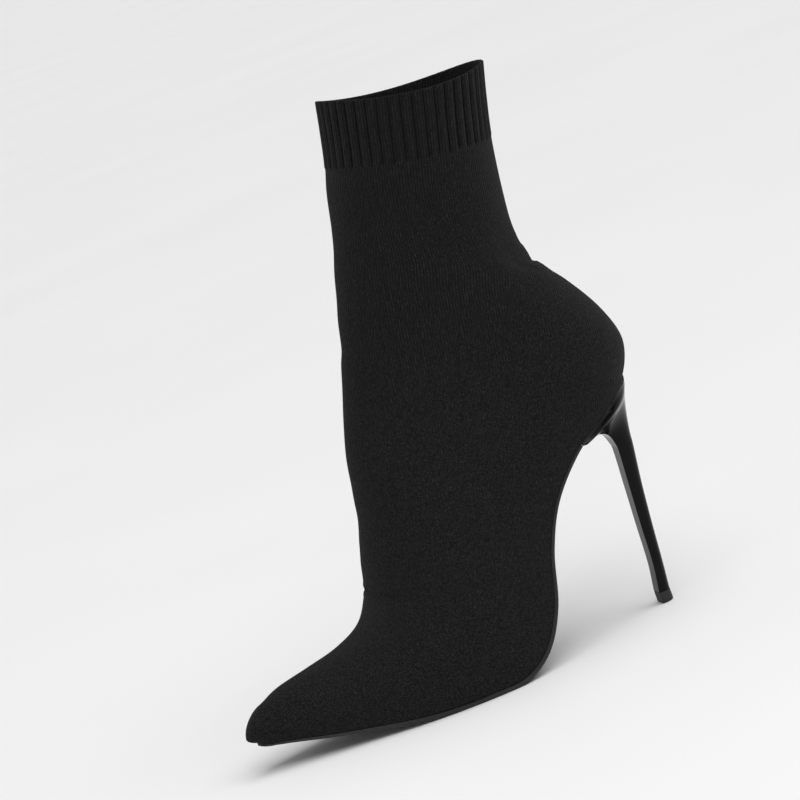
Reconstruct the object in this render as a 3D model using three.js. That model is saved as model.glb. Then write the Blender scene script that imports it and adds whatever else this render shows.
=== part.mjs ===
// Sock boot, left foot: a knitted upper on a slim heel.
// Millimetres. The origin is the heel tip's centre on the floor, +X runs to the toe,
// +Y to the outer side of the foot, and +Z up.
import * as THREE from "three";

// Sizes of the last and the leg
const FOOT_LENGTH = 211; // heel tip's centre to the point of the toe, along the floor
const BALL_WIDTH = 79.5; // widest part of the forefoot
const INSTEP_REACH = 138; // back corner of the seat, across the ankle, to the instep
const HEEL_HEIGHT = 110; // floor to the back corner of the seat
const TOE_SPRING = 13; // rise of the feather line from the ball to the toe
const TOE_ROUND = 10.6; // length of the rounded nose ahead of the first section
const NOSE_TAPER = 0.2; // share of its width that the nose loses by taper alone
const NOSE_LIFT = 4.5; // height of the toe's foremost point over the feather line
const SEAT_ROUND = 20.2; // radius of the feather line behind the heel
const SHAFT_HEIGHT = 162.5; // back corner of the seat to the back of the collar
const COLLAR_DEPTH = 80; // collar from front to back
const COLLAR_WIDTH = 74; // collar from side to side

// Sizes of the materials and of the ribbing
const WALL = 1.6; // knitted fabric
const OUTSOLE = 2.6; // sole at the ball
const SHANK_SOLE = 1.6; // sole where it meets the heel
const TOE_SOLE = 1.1; // sole at the toe's tip
const SOLE_INSET = 0.6; // sole's edge inside the feather line
const SOLE_BEVEL = 0.9; // lower edge of the sole
const INSOLE = 1.8;
const GAP = 0.3; // clearance between neighbouring pieces
const RIB_DEPTH = 1.2; // groove to crest of the cuff's ribs
const RIB_SINK = 0.8; // how far a groove lies under the plain knit
const RIB_START = 0.06; // share of the cuff's height over which the ribs rise

// Sizes of the heel
const STEM_WIDTH = 8.8; // slimmest part of the stem, side to side
const TIP_HEIGHT = 5.6;
const TIP_BEVEL = 0.7;
const SEAT_INSET = 1.5; // how far the wings' lower edge lies inside the feather line
const BREAST_REACH = 36; // seat's back corner to the heel's breast, along the floor

// Fineness of the faces
const HALF_STEPS = 22; // faces from the feather line to the crown, and ribs on each side of the cuff
const RIB_STEPS = 4; // faces across one rib
const INNER_RATIO = 2; // faces outside for each one inside
const SEAT_STEPS = 10; // faces on each side of the heel

// Sections of the foot from the toe to the back of the heel. Each lies in a plane that leans by tilt
// degrees from upright, from a point on the feather line up to the crown. Shares of the named sizes:
// x of FOOT_LENGTH, spring of TOE_SPRING, heel of HEEL_HEIGHT above the sole, leg of SHAFT_HEIGHT,
// reach of INSTEP_REACH, and the half widths and side shifts of BALL_WIDTH. widest is the height
// share of the widest point, and round the exponent of the arc above it.
const FOOT_COLUMNS = [
  "x", "spring", "heel", "leg", "reach", "tilt", "outer", "inner", "edgeOuter", "edgeInner",
  "lowShift", "topShift", "widest", "round",
];
const FOOT_ROWS = [
  [0.953, 0.88, 0, 0, 0.127, -7, 0.113, 0.113, 0.104, 0.104, -0.05, -0.05, 0.35, 2.1],
  [0.904, 0.76, 0, 0, 0.166, -5, 0.172, 0.166, 0.158, 0.152, -0.044, -0.05, 0.35, 2.1],
  [0.829, 0.54, 0, 0, 0.208, -6, 0.254, 0.243, 0.239, 0.229, -0.031, -0.05, 0.33, 2.05],
  [0.744, 0.32, 0, 0, 0.251, -3, 0.34, 0.333, 0.321, 0.314, -0.019, -0.05, 0.31, 2.0],
  [0.654, 0.11, 0, 0, 0.316, 5, 0.421, 0.415, 0.396, 0.396, 0, -0.05, 0.29, 1.95],
  [0.569, 0, 0, 0, 0.413, 15, 0.478, 0.472, 0.453, 0.447, 0.006, -0.05, 0.28, 1.9],
  [0.488, 0, 0, 0, 0.496, 25.8, 0.516, 0.484, 0.491, 0.447, 0.006, -0.05, 0.28, 1.88],
  [0.41, 0, 0.007, 0, 0.594, 33, 0.522, 0.472, 0.497, 0.409, 0.006, -0.05, 0.3, 1.88],
  [0.342, 0, 0.08, 0, 0.656, 38.4, 0.509, 0.453, 0.465, 0.34, 0.006, -0.044, 0.33, 1.9],
  [0.288, 0, 0.23, 0, 0.674, 43.4, 0.478, 0.44, 0.415, 0.289, 0.006, -0.038, 0.34, 1.9],
  [0.246, 0, 0.449, 0, 0.657, 51.4, 0.44, 0.428, 0.358, 0.277, 0.006, -0.025, 0.36, 1.92],
  [0.191, 0, 0.639, 0, 0.689, 56.9, 0.421, 0.421, 0.333, 0.296, 0, -0.019, 0.38, 1.95],
  [0.107, 0, 0.8, 0, 0.765, 61.1, 0.421, 0.421, 0.308, 0.302, 0, -0.019, 0.38, 1.95],
  [0.024, 0, 0.887, 0, 0.862, 62.2, 0.421, 0.428, 0.27, 0.27, 0, -0.013, 0.4, 2.0],
  [-0.038, 0, 0.96, 0, 0.935, 63, 0.428, 0.44, 0.252, 0.252, 0, 0, 0.36, 2.0],
  [-0.08, 0, 1, 0, 0.983, 63, 0.44, 0.447, 0.252, 0.252, 0, 0, 0.34, 2.0],
  [-0.109, 0, 1, 0.095, 0.992, 65, 0.44, 0.453, 0, 0, 0, 0, 0.4, 2.0],
  [-0.087, 0, 1, 0.203, 0.917, 66.8, 0.434, 0.447, 0, 0, 0, 0, 0.46, 2.0],
  [-0.036, 0, 1, 0.317, 0.803, 67.1, 0.415, 0.428, 0, 0, 0, 0, 0.5, 2.0],
];
const SEAT_ROW = FOOT_ROWS.length - 4; // the section at the seat's back corner, where the opening ends

// Sections of the leg from the ankle to the collar: leg is a share of SHAFT_HEIGHT, reach of
// COLLAR_DEPTH, the half widths of COLLAR_WIDTH, and dip how far the section hangs between front and
// back, as a share of COLLAR_DEPTH.
const LEG_COLUMNS = ["x", "leg", "reach", "tilt", "outer", "inner", "dip"];
const LEG_ROWS = [
  [0.024, 0.421, 1.167, 66.1, 0.426, 0.432, 0],
  [0.038, 0.514, 1.083, 65.7, 0.426, 0.426, 0],
  [0.031, 0.634, 1.029, 71.4, 0.446, 0.446, 0.008],
  [0.014, 0.785, 0.986, 80.1, 0.48, 0.48, 0.03],
  [-0.006, 0.896, 0.986, 82, 0.49, 0.49, 0.045],
  [-0.028, 1, 1, 83.1, 0.5, 0.5, 0.06],
];
const CUFF_ROW = FOOT_ROWS.length + 3; // the section at the cuff's lower edge
const LAST_ROW = FOOT_ROWS.length + LEG_ROWS.length - 1;

// Rings of the heel's stem: height share of HEEL_HEIGHT, front and back as shares of HEEL_HEIGHT,
// and the half width as a share of STEM_WIDTH.
const STEM_COLUMNS = ["height", "front", "back", "half"];
const STEM_ROWS = [
  [0.18, 0.012, -0.043, 0.5],
  [0.35, 0.003, -0.058, 0.5],
  [0.53, -0.008, -0.077, 0.52],
  [0.69, -0.018, -0.099, 0.56],
];
const TIP_HALF_DEPTH = 3.3; // tip's centre to its front and back
// Rings of the heel's wings: how far each has gone from the stem's last ring to the seat,
// for the front in x and z, for the back in x and z, and for the width.
const WING_COLUMNS = ["frontX", "frontZ", "backX", "backZ", "width"];
const WING_ROWS = [
  [0.02, 0.33, 0.09, 0.18, 0.03],
  [0.1, 0.68, 0.25, 0.38, 0.11],
  [0.25, 0.9, 0.45, 0.58, 0.27],
  [0.5, 1.0, 0.66, 0.76, 0.51],
  [0.8, 0.93, 0.85, 0.9, 0.79],
];

const radians = THREE.MathUtils.degToRad;
const mix = THREE.MathUtils.lerp;

/** Turns a table's rows into objects with the named columns. */
function named(columns, rows) {
  return rows.map((row) => Object.fromEntries(columns.map((name, i) => [name, row[i]])));
}

/** The foot's section in millimetres. */
function footSection(row) {
  const sole = OUTSOLE + GAP;
  return {
    x: row.x * FOOT_LENGTH,
    z: sole + row.spring * TOE_SPRING + row.heel * (HEEL_HEIGHT - sole) + row.leg * SHAFT_HEIGHT,
    tilt: radians(row.tilt),
    reach: row.reach * INSTEP_REACH,
    outer: row.outer * BALL_WIDTH,
    inner: row.inner * BALL_WIDTH,
    edgeOuter: row.edgeOuter * BALL_WIDTH,
    edgeInner: row.edgeInner * BALL_WIDTH,
    lowShift: row.lowShift * BALL_WIDTH,
    topShift: row.topShift * BALL_WIDTH,
    widest: row.widest,
    round: row.round,
    dip: 0,
  };
}

/** The leg's section in millimetres. */
function legSection(row) {
  return {
    x: row.x * FOOT_LENGTH,
    z: HEEL_HEIGHT + row.leg * SHAFT_HEIGHT,
    tilt: radians(row.tilt),
    reach: row.reach * COLLAR_DEPTH,
    outer: row.outer * COLLAR_WIDTH,
    inner: row.inner * COLLAR_WIDTH,
    edgeOuter: 0,
    edgeInner: 0,
    lowShift: 0,
    topShift: 0,
    widest: 0.5,
    round: 2,
    dip: row.dip * COLLAR_DEPTH,
  };
}

const SECTIONS = [
  ...named(FOOT_COLUMNS, FOOT_ROWS).map(footSection),
  ...named(LEG_COLUMNS, LEG_ROWS).map(legSection),
];

/** A section between the rows: t counts them from the toe, on a smooth curve through all. */
function sectionAt(t) {
  const i = Math.min(Math.floor(t), SECTIONS.length - 2);
  const u = t - i;
  const section = {};
  for (const key of Object.keys(SECTIONS[0])) {
    const b = SECTIONS[i][key];
    const c = SECTIONS[i + 1][key];
    const a = i > 0 ? SECTIONS[i - 1][key] : 2 * b - c;
    const d = i + 2 < SECTIONS.length ? SECTIONS[i + 2][key] : 2 * c - b;
    const slope = c - a;
    const bend = 2 * a - 5 * b + 4 * c - d;
    const twist = 3 * b - a - 3 * c + d;
    section[key] = b + 0.5 * u * (slope + u * (bend + u * twist));
  }
  return section;
}

const SEAT_CORNER = sectionAt(SEAT_ROW);

/** Half width of the feather line at row t, on the side "Outer" or "Inner", less an inset. */
function featherHalf(t, side, inset = 0) {
  if (t >= SEAT_ROW) return 0;
  const section = sectionAt(t);
  const straight = section[`edge${side}`] - inset;
  const fromCorner = Math.hypot(section.x - SEAT_CORNER.x, section.z - SEAT_CORNER.z);
  if (fromCorner >= SEAT_ROUND) return straight;
  const chord = (SEAT_ROUND - inset) ** 2 - (SEAT_ROUND - fromCorner) ** 2;
  return Math.min(straight, Math.sqrt(Math.max(chord, 0)));
}

const FINE = 48; // points on each arc of a section before they are spaced evenly

/** One side of a section as fine points [y, h]: from the feather line to the widest point and on to the crown. */
function halfOutline(section, half, edge) {
  const start = Math.asin(Math.min(edge / half, 0.97));
  const waist = section.widest * section.reach;
  const points = [];
  for (let i = 0; i < FINE; i += 1) {
    const angle = mix(start, Math.PI / 2, i / FINE);
    points.push([half * Math.sin(angle), waist * (1 - Math.cos(angle) / Math.cos(start))]);
  }
  for (let i = 0; i <= FINE; i += 1) {
    const angle = mix(Math.PI / 2, 0, i / FINE);
    const across = Math.sin(angle) ** (2 / section.round);
    const up = Math.cos(angle) ** (2 / section.round);
    points.push([half * across, waist + (section.reach - waist) * up]);
  }
  return points;
}

/** Lengths along a line of points, from its first point to each. */
function runs(points) {
  const run = [0];
  for (let i = 1; i < points.length; i += 1) {
    const [ay, ah] = points[i - 1];
    const [by, bh] = points[i];
    run.push(run[i - 1] + Math.hypot(by - ay, bh - ah));
  }
  return run;
}

/** The outline's outward directions, square to it. The crown looks up, and a closed bottom down. */
function outlineNormals(points) {
  return points.map(([y], i) => {
    if (i === points.length - 1) return [0, 1];
    if (y === 0) return [0, -1];
    const before = points[Math.max(i - 1, 0)];
    const after = points[i + 1];
    const run = Math.hypot(after[0] - before[0], after[1] - before[1]);
    return [(after[1] - before[1]) / run, (before[0] - after[0]) / run];
  });
}

/** Points along an outline, each moved outward by offset(step). The lower arc takes the share split of
 * the steps, and the steps are even on each arc. */
function evenPoints(points, steps, split, offset) {
  const normals = outlineNormals(points);
  const run = runs(points);
  const total = run[run.length - 1];
  const even = [];
  let k = 0;
  for (let step = 0; step <= steps; step += 1) {
    const share = step / steps;
    const lower = (run[FINE] * share) / split;
    const upper = mix(run[FINE], total, (share - split) / (1 - split));
    const target = share < split ? lower : upper;
    while (k < points.length - 2 && run[k + 1] < target) k += 1;
    const u = Math.min((target - run[k]) / (run[k + 1] - run[k]), 1);
    const along = (list, axis) => mix(list[k][axis], list[k + 1][axis], u);
    const away = offset(step);
    even.push([along(points, 0) + away * along(normals, 0), along(points, 1) + away * along(normals, 1)]);
  }
  return even;
}

/** A section's ring in space, from the outer feather edge over the crown to the inner one. edgeShare is
 * how much of the opening underneath is left. */
function ringAt(t, steps, offset, edgeShare = 1) {
  const section = sectionAt(t);
  const place = (side) => ([y, h]) => {
    const up = h / section.reach;
    const drop = 4 * section.dip * up * (1 - up);
    return new THREE.Vector3(
      section.x + Math.sin(section.tilt) * h + Math.cos(section.tilt) * drop,
      mix(section.lowShift, section.topShift, up) + side * y,
      section.z + Math.cos(section.tilt) * h - Math.sin(section.tilt) * drop,
    );
  };
  const half = (width, name, side) => {
    const outline = halfOutline(section, width, edgeShare * featherHalf(t, name));
    const straight = runs(halfOutline(section, width, Math.max(section[`edge${name}`], 0)));
    const split = straight[FINE] / straight[straight.length - 1];
    return evenPoints(outline, steps, split, offset).map(place(side));
  };
  const outer = half(section.outer, "Outer", 1);
  const inner = half(section.inner, "Inner", -1);
  return [...outer, ...inner.reverse().slice(1)];
}

/** A closed body gathered from points and triangles. */
class Skin {
  constructor() {
    this.positions = [];
    this.triangles = [];
  }

  /** Adds a point and gives its number. */
  point(p) {
    this.positions.push(p.x, p.y, p.z);
    return this.positions.length / 3 - 1;
  }

  /** Adds a ring of points. A closed one joins its last point to its first. */
  ring(points, closed) {
    const ids = points.slice(0, closed ? -1 : undefined).map((p) => this.point(p));
    return closed ? [...ids, ids[0]] : ids;
  }

  triangle(a, b, c) {
    if (a !== b && b !== c && c !== a) this.triangles.push(a, b, c);
  }

  /** Faces between two lines with the same number of points. */
  strip(front, back) {
    for (let j = 0; j + 1 < front.length; j += 1) {
      this.triangle(front[j], back[j], back[j + 1]);
      this.triangle(front[j], back[j + 1], front[j + 1]);
    }
  }

  /** Faces between a coarse line and a finer one with a whole number of steps for each coarse step. */
  stitch(coarse, fine, flip) {
    const ratio = (fine.length - 1) / (coarse.length - 1);
    const face = (a, b, c) => (flip ? this.triangle(a, c, b) : this.triangle(a, b, c));
    for (let j = 0; j + 1 < coarse.length; j += 1) {
      for (let k = 0; k < ratio; k += 1) {
        const near = k < ratio / 2 ? coarse[j] : coarse[j + 1];
        face(near, fine[j * ratio + k], fine[j * ratio + k + 1]);
      }
      face(coarse[j], fine[j * ratio + Math.ceil(ratio / 2)], coarse[j + 1]);
    }
  }

  /** Closes a ring with strips between points that mirror each other about its first point. */
  cap(ring, flip) {
    const count = ring.length;
    for (let i = 0; i < count / 2; i += 1) {
      const quad = [ring[i], ring[i + 1], ring[(count - i - 1) % count], ring[(count - i) % count]];
      if (flip) quad.reverse();
      this.triangle(quad[0], quad[1], quad[2]);
      this.triangle(quad[0], quad[2], quad[3]);
    }
  }

  geometry() {
    const geometry = new THREE.BufferGeometry();
    geometry.setAttribute("position", new THREE.Float32BufferAttribute(this.positions, 3));
    geometry.setIndex(this.triangles);
    geometry.computeVertexNormals();
    return geometry;
  }
}

/** A solid through closed rings with the same number of points, anticlockwise as seen from the last. */
function loft(rings) {
  const skin = new Skin();
  const ids = rings.map((points) => points.map((p) => skin.point(p)));
  const closed = ids.map((ring) => [...ring, ring[0]]);
  for (let i = 0; i + 1 < closed.length; i += 1) skin.strip(closed[i + 1], closed[i]);
  skin.cap(ids[0], true);
  skin.cap(ids[ids.length - 1], false);
  return skin.geometry();
}

/** Rows at which the upper and the plates under it have their sections. */
function rowSteps() {
  const rows = [];
  for (let t = 0; t < SEAT_ROW - 1; t += 0.5) rows.push(t);
  rows.push(SEAT_ROW - 1, SEAT_ROW - 0.6, SEAT_ROW - 0.3, SEAT_ROW - 0.12, SEAT_ROW - 0.03);
  return rows;
}

const NOSE_CLOSE = radians(40); // where the opening underneath ends on the nose
const NOSE_ANGLES = [radians(75), radians(57), NOSE_CLOSE, radians(33), radians(23), radians(11)];
const NOSE_ROOT = new THREE.Vector3(SECTIONS[0].x, SECTIONS[0].lowShift, SECTIONS[0].z + NOSE_LIFT);

/** Size of the nose at an angle from its root, as a share of the first section: a taper on a quarter round. */
function noseScale(angle) {
  return Math.cos(angle) * (1 - NOSE_TAPER * Math.sin(angle));
}

/** Height of the nose's lower edge over the feather line, at a distance ahead of the first section. */
function noseRise(ahead) {
  return NOSE_LIFT * (1 - noseScale(Math.asin(ahead / TOE_ROUND)));
}

/** A ring of the rounded nose: the first section, closing underneath, shrunk towards the tip and moved ahead. */
function noseRing(angle, steps, offset, length) {
  const gone = Math.sin(angle) / Math.sin(NOSE_CLOSE);
  const edgeShare = Math.sqrt(Math.max(1 - gone * gone, 0));
  return ringAt(0, steps, offset, edgeShare).map((p) => {
    const shrunk = p.sub(NOSE_ROOT).multiplyScalar(noseScale(angle)).add(NOSE_ROOT);
    shrunk.x += length * Math.sin(angle);
    return shrunk;
  });
}

/** One sheet of the upper, from the nose to the last plain ring. Gives its rings of point numbers. */
function upperSheet(skin, steps, offset, noseLength, flip) {
  const rings = [];
  const tip = skin.point(NOSE_ROOT.clone().setX(NOSE_ROOT.x + noseLength));
  rings.push(new Array(2 * steps + 1).fill(tip));
  for (const angle of NOSE_ANGLES) {
    rings.push(skin.ring(noseRing(angle, steps, offset, noseLength), angle >= NOSE_CLOSE));
  }
  for (const t of rowSteps()) rings.push(skin.ring(ringAt(t, steps, offset), false));
  for (let t = SEAT_ROW; t <= CUFF_ROW; t += t < SEAT_ROW + 5 ? 0.5 : 1) {
    rings.push(skin.ring(ringAt(t, steps, offset), true));
  }
  for (let i = 0; i + 1 < rings.length; i += 1) {
    if (flip) skin.strip(rings[i + 1], rings[i]);
    else skin.strip(rings[i], rings[i + 1]);
  }
  return rings;
}

/** How far a rib stands out at a step around the cuff. */
function ribHeight(step) {
  const share = (step % RIB_STEPS) / RIB_STEPS;
  return RIB_DEPTH * Math.sin(Math.PI * share) ** 0.7 - RIB_SINK;
}

/** Knitted upper: outer and inner sheet, the ribbed cuff, and the edges that join the sheets. */
function upper() {
  const skin = new Skin();
  const innerSteps = HALF_STEPS / INNER_RATIO;
  const inward = () => -WALL;
  const outside = upperSheet(skin, HALF_STEPS, () => 0, TOE_ROUND, false);
  const inside = upperSheet(skin, innerSteps, inward, TOE_ROUND - WALL, true);

  const ribRows = [CUFF_ROW + RIB_START * (LAST_ROW - CUFF_ROW), CUFF_ROW + 1, LAST_ROW];
  const ribs = ribRows.map((t) => skin.ring(ringAt(t, HALF_STEPS * RIB_STEPS, ribHeight), true));
  skin.stitch(outside[outside.length - 1], ribs[0], false);
  for (let i = 0; i + 1 < ribs.length; i += 1) skin.strip(ribs[i], ribs[i + 1]);
  const lining = [inside[inside.length - 1]];
  for (let t = CUFF_ROW + 1; t <= LAST_ROW; t += 1) {
    lining.push(skin.ring(ringAt(t, innerSteps, inward), true));
    skin.strip(lining[lining.length - 1], lining[lining.length - 2]);
  }
  skin.stitch(lining[lining.length - 1], ribs[ribs.length - 1], true);

  const first = NOSE_ANGLES.indexOf(NOSE_CLOSE) + 1;
  const last = NOSE_ANGLES.length + rowSteps().length + 2;
  const edge = (rings, at) => rings.slice(first, last).map((ring) => ring.at(at));
  skin.strip(edge(outside, 0), edge(inside, 0));
  skin.strip(edge(inside, -1), edge(outside, -1));
  return skin.geometry();
}

/** A point on the feather line at row t, moved square to it: up and forward where away is positive. */
function featherPoint(t, away) {
  const step = 0.01;
  const at = sectionAt(t);
  const level = Math.min(t, SEAT_ROW - 1); // the seat keeps one direction up to its back corner
  const before = sectionAt(Math.max(level - step, 0));
  const after = sectionAt(level + step);
  const run = Math.hypot(after.x - before.x, after.z - before.z);
  return {
    x: at.x + (away * (after.z - before.z)) / run,
    z: at.z + (away * (before.x - after.x)) / run,
    shift: at.lowShift,
  };
}

/** Rows passed for each millimetre along the feather line after row t. */
function rowsPerMillimetre(t) {
  const from = sectionAt(t);
  const to = sectionAt(t + 1);
  return 1 / Math.hypot(to.x - from.x, to.z - from.z);
}

/** The outline of a plate on the feather line, inset from it, from the nose to row last. */
function plateStations(last, inset) {
  const noseLength = TOE_ROUND * Math.sin(NOSE_CLOSE) - inset;
  const toe = { outer: featherHalf(0, "Outer", inset), inner: featherHalf(0, "Inner", inset) };
  const nose = [radians(84), ...NOSE_ANGLES].map((angle) => ({
    t: 0,
    ahead: noseLength * Math.sin(angle),
    rise: noseRise(noseLength * Math.sin(angle)),
    outer: toe.outer * noseScale(angle),
    inner: toe.inner * noseScale(angle),
  }));
  const rows = rowSteps().filter((t) => t < last - 0.01);
  const body = [...rows, last].map((t) => ({
    t,
    ahead: 0,
    rise: 0,
    outer: featherHalf(t, "Outer", inset),
    inner: featherHalf(t, "Inner", inset),
  }));
  return [...nose, ...body].filter((station) => station.outer > 0.5);
}

/** A thin plate along the feather line. Its faces lie at top(t) and bottom(t) from that line. */
function plate(last, inset, bevel, top, bottom) {
  const rings = plateStations(last, inset).map(({ t, ahead, rise, outer, inner }) => {
    const high = featherPoint(t, top(t));
    const low = featherPoint(t, bottom(t));
    const point = (p, y) => new THREE.Vector3(p.x + ahead, p.shift + y, Math.max(p.z + rise, 0));
    const cut = (half) => Math.max(half - bevel, half * 0.5);
    return [
      point(low, 0), point(low, -cut(inner)), point(high, -inner),
      point(high, 0), point(high, outer), point(low, cut(outer)),
    ];
  });
  return loft(rings);
}

/** The row at which the heel's breast crosses the feather line. */
function breastRow() {
  const target = SEAT_CORNER.x + BREAST_REACH;
  let low = SEAT_ROW - 6;
  let high = SEAT_ROW;
  for (let i = 0; i < 30; i += 1) {
    const middle = (low + high) / 2;
    if (sectionAt(middle).x > target) low = middle;
    else high = middle;
  }
  return low;
}

const BREAST_ROW = breastRow();
const TOE_ROWS = 4; // rows from the tip over which the sole reaches its thickness

/** Thickness of the outsole at row t: it thins up the shank and out to the toe's tip. */
function soleThickness(t) {
  if (t < TOE_ROWS) return mix(TOE_SOLE, OUTSOLE, t / TOE_ROWS);
  const rise = (sectionAt(t).z - OUTSOLE - GAP) / (sectionAt(BREAST_ROW).z - OUTSOLE - GAP);
  return mix(OUTSOLE, SHANK_SOLE, THREE.MathUtils.clamp(rise, 0, 1));
}

function outsole() {
  const last = BREAST_ROW - 1.1 * GAP * rowsPerMillimetre(BREAST_ROW - 1);
  return plate(last, SOLE_INSET, SOLE_BEVEL, () => -GAP, (t) => -GAP - soleThickness(t));
}

function insole() {
  const inset = WALL + 2 * GAP;
  return plate(SEAT_ROW - 0.12, inset, 0, () => INSOLE, () => 0);
}

/** One side of a heel ring as shares [depth, half width], from its back to its breast. */
function heelProfile() {
  const widest = 0.7;
  const points = [];
  for (let i = 0; i <= SEAT_STEPS; i += 1) {
    const depth = (1 - Math.cos((Math.PI / 2) * (i / SEAT_STEPS))) ** 1.15;
    const rest = Math.max(1 - depth / widest, 0);
    const ahead = Math.max(depth - widest, 0) / (1 - widest);
    points.push([depth, Math.sqrt(1 - rest * rest) * (1 - 0.1 * ahead * ahead)]);
  }
  return points;
}

/** A closed ring of the heel from its outer side, with the back's middle first. */
function heelRing(outer, inner) {
  return [outer[0], ...inner.slice(1), ...outer.slice(1).reverse()];
}

/** A flat ring of the heel between a front and a back point. */
function flatRing(front, back, half) {
  const side = (sign) => heelProfile().map(([depth, width]) => new THREE.Vector3(
    mix(back.x, front.x, depth),
    sign * half * width,
    mix(back.z, front.z, depth),
  ));
  return heelRing(side(1), side(-1));
}

/** A ring of the heel's seat, which follows the feather line below the upper and the insole. */
function seatRing(away, inset) {
  const last = SEAT_ROW - inset * rowsPerMillimetre(SEAT_ROW - 1);
  const side = (sign, name) => heelProfile().map(([depth]) => {
    const t = mix(last, BREAST_ROW, depth);
    const p = featherPoint(t, away);
    return new THREE.Vector3(p.x, p.shift + sign * featherHalf(t, name, inset), p.z);
  });
  return heelRing(side(1, "Outer"), side(-1, "Inner"));
}

function heel() {
  const base = TIP_HEIGHT + GAP;
  const tipHalf = STEM_WIDTH / 2;
  const stem = named(STEM_COLUMNS, STEM_ROWS).map((row) => ({
    front: { x: row.front * HEEL_HEIGHT, z: row.height * HEEL_HEIGHT },
    back: { x: row.back * HEEL_HEIGHT, z: row.height * HEEL_HEIGHT },
    half: row.half * STEM_WIDTH,
  }));
  stem.unshift({ front: { x: TIP_HALF_DEPTH, z: base }, back: { x: -TIP_HALF_DEPTH, z: base }, half: tipHalf });
  const rings = stem.map(({ front, back, half }) => flatRing(front, back, half));

  const top = stem[stem.length - 1];
  const underSeat = -GAP - SHANK_SOLE;
  const front = featherPoint(BREAST_ROW, underSeat);
  const back = featherPoint(SEAT_ROW - SEAT_INSET * rowsPerMillimetre(SEAT_ROW - 1), underSeat);
  const seatHalf = featherHalf(BREAST_ROW, "Outer");
  for (const row of named(WING_COLUMNS, WING_ROWS)) {
    const breast = { x: mix(top.front.x, front.x, row.frontX), z: mix(top.front.z, front.z, row.frontZ) };
    const rear = { x: mix(top.back.x, back.x, row.backX), z: mix(top.back.z, back.z, row.backZ) };
    rings.push(flatRing(breast, rear, mix(top.half, seatHalf, row.width)));
  }
  rings.push(seatRing(underSeat, SEAT_INSET), seatRing(-GAP, 0.3 * SEAT_INSET));
  return loft(rings);
}

function heelTip() {
  const ring = (z, inset) => flatRing(
    { x: TIP_HALF_DEPTH - inset, z },
    { x: inset - TIP_HALF_DEPTH, z },
    STEM_WIDTH / 2 - inset,
  );
  return loft([ring(0, TIP_BEVEL), ring(TIP_BEVEL, 0), ring(TIP_HEIGHT, 0)]);
}

const KNIT = new THREE.MeshStandardMaterial({ color: 0x242426, roughness: 0.92, metalness: 0 });
const SOLE = new THREE.MeshStandardMaterial({ color: 0x141414, roughness: 0.55, metalness: 0 });
const LACQUER = new THREE.MeshStandardMaterial({ color: 0x0c0c0d, roughness: 0.12, metalness: 0 });
const RUBBER = new THREE.MeshStandardMaterial({ color: 0x101010, roughness: 0.7, metalness: 0 });
const LINING = new THREE.MeshStandardMaterial({ color: 0x1c1b1b, roughness: 0.8, metalness: 0 });

/** Adds a named mesh to the boot. */
function add(group, name, geometry, material) {
  const mesh = new THREE.Mesh(geometry, material);
  mesh.name = name;
  group.add(mesh);
}

const boot = new THREE.Group();
add(boot, "upper", upper(), KNIT);
add(boot, "outsole", outsole(), SOLE);
add(boot, "insole", insole(), LINING);
add(boot, "heel", heel(), LACQUER);
add(boot, "heel_tip", heelTip(), RUBBER);

export default boot;
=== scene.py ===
"""Looks of the sock boot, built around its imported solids.

Shapes are worked out in millimetres, in the frame of the solids: the origin is the heel tip's
centre on the floor, +X runs to the toe, +Y to the outer side of the left foot, and +Z up.
"""
import logging
import math
from dataclasses import dataclass, field, replace
from enum import Enum

import bpy
import numpy as np
from mathutils import Matrix, Vector


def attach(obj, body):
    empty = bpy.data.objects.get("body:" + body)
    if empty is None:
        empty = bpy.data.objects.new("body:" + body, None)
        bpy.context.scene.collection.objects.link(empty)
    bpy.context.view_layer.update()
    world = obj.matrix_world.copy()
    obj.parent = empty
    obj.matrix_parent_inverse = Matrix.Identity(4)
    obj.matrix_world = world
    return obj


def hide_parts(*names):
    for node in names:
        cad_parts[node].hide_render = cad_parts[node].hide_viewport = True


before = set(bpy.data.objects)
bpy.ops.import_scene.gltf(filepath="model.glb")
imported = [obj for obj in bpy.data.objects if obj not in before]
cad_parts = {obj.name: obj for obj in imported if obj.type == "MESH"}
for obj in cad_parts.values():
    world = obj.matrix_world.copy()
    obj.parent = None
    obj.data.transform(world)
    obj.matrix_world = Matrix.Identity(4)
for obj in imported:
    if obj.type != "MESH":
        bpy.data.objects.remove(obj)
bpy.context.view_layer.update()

MM = 0.001
BODY = "root"
log = logging.getLogger("sock_boot")


class Side(Enum):
    """A side of the foot: the sign of its Y, and its columns in the table of sections."""

    OUTER = (1, "outer", "edge_outer")
    INNER = (-1, "inner", "edge_inner")

    @property
    def sign(self) -> int:
        """Sign of Y on this side."""
        return self.value[0]

    @property
    def half(self) -> str:
        """Column of the half width."""
        return self.value[1]

    @property
    def edge(self) -> str:
        """Column of the feather line's half width."""
        return self.value[2]


def smooth_step(low: float, high: float, value: np.ndarray) -> np.ndarray:
    """Rises softly from 0 at low to 1 at high."""
    share = np.clip((value - low) / (high - low), 0.0, 1.0)
    return share * share * (3.0 - 2.0 * share)


def curve_through(rows: np.ndarray, t: float) -> np.ndarray:
    """Value at row t on a smooth curve through all rows.

    Args:
        rows: One row of values for each whole t.
        t: Place along the rows, from 0.

    Returns:
        The values at t.
    """
    i = min(int(t), len(rows) - 2)
    u = t - i
    b = rows[i]
    c = rows[i + 1]
    a = rows[i - 1] if i > 0 else 2 * b - c
    d = rows[i + 2] if i + 2 < len(rows) else 2 * c - b
    bend = 2 * a - 5 * b + 4 * c - d
    twist = 3 * b - a - 3 * c + d
    return b + 0.5 * u * (c - a + u * (bend + u * twist))


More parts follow.
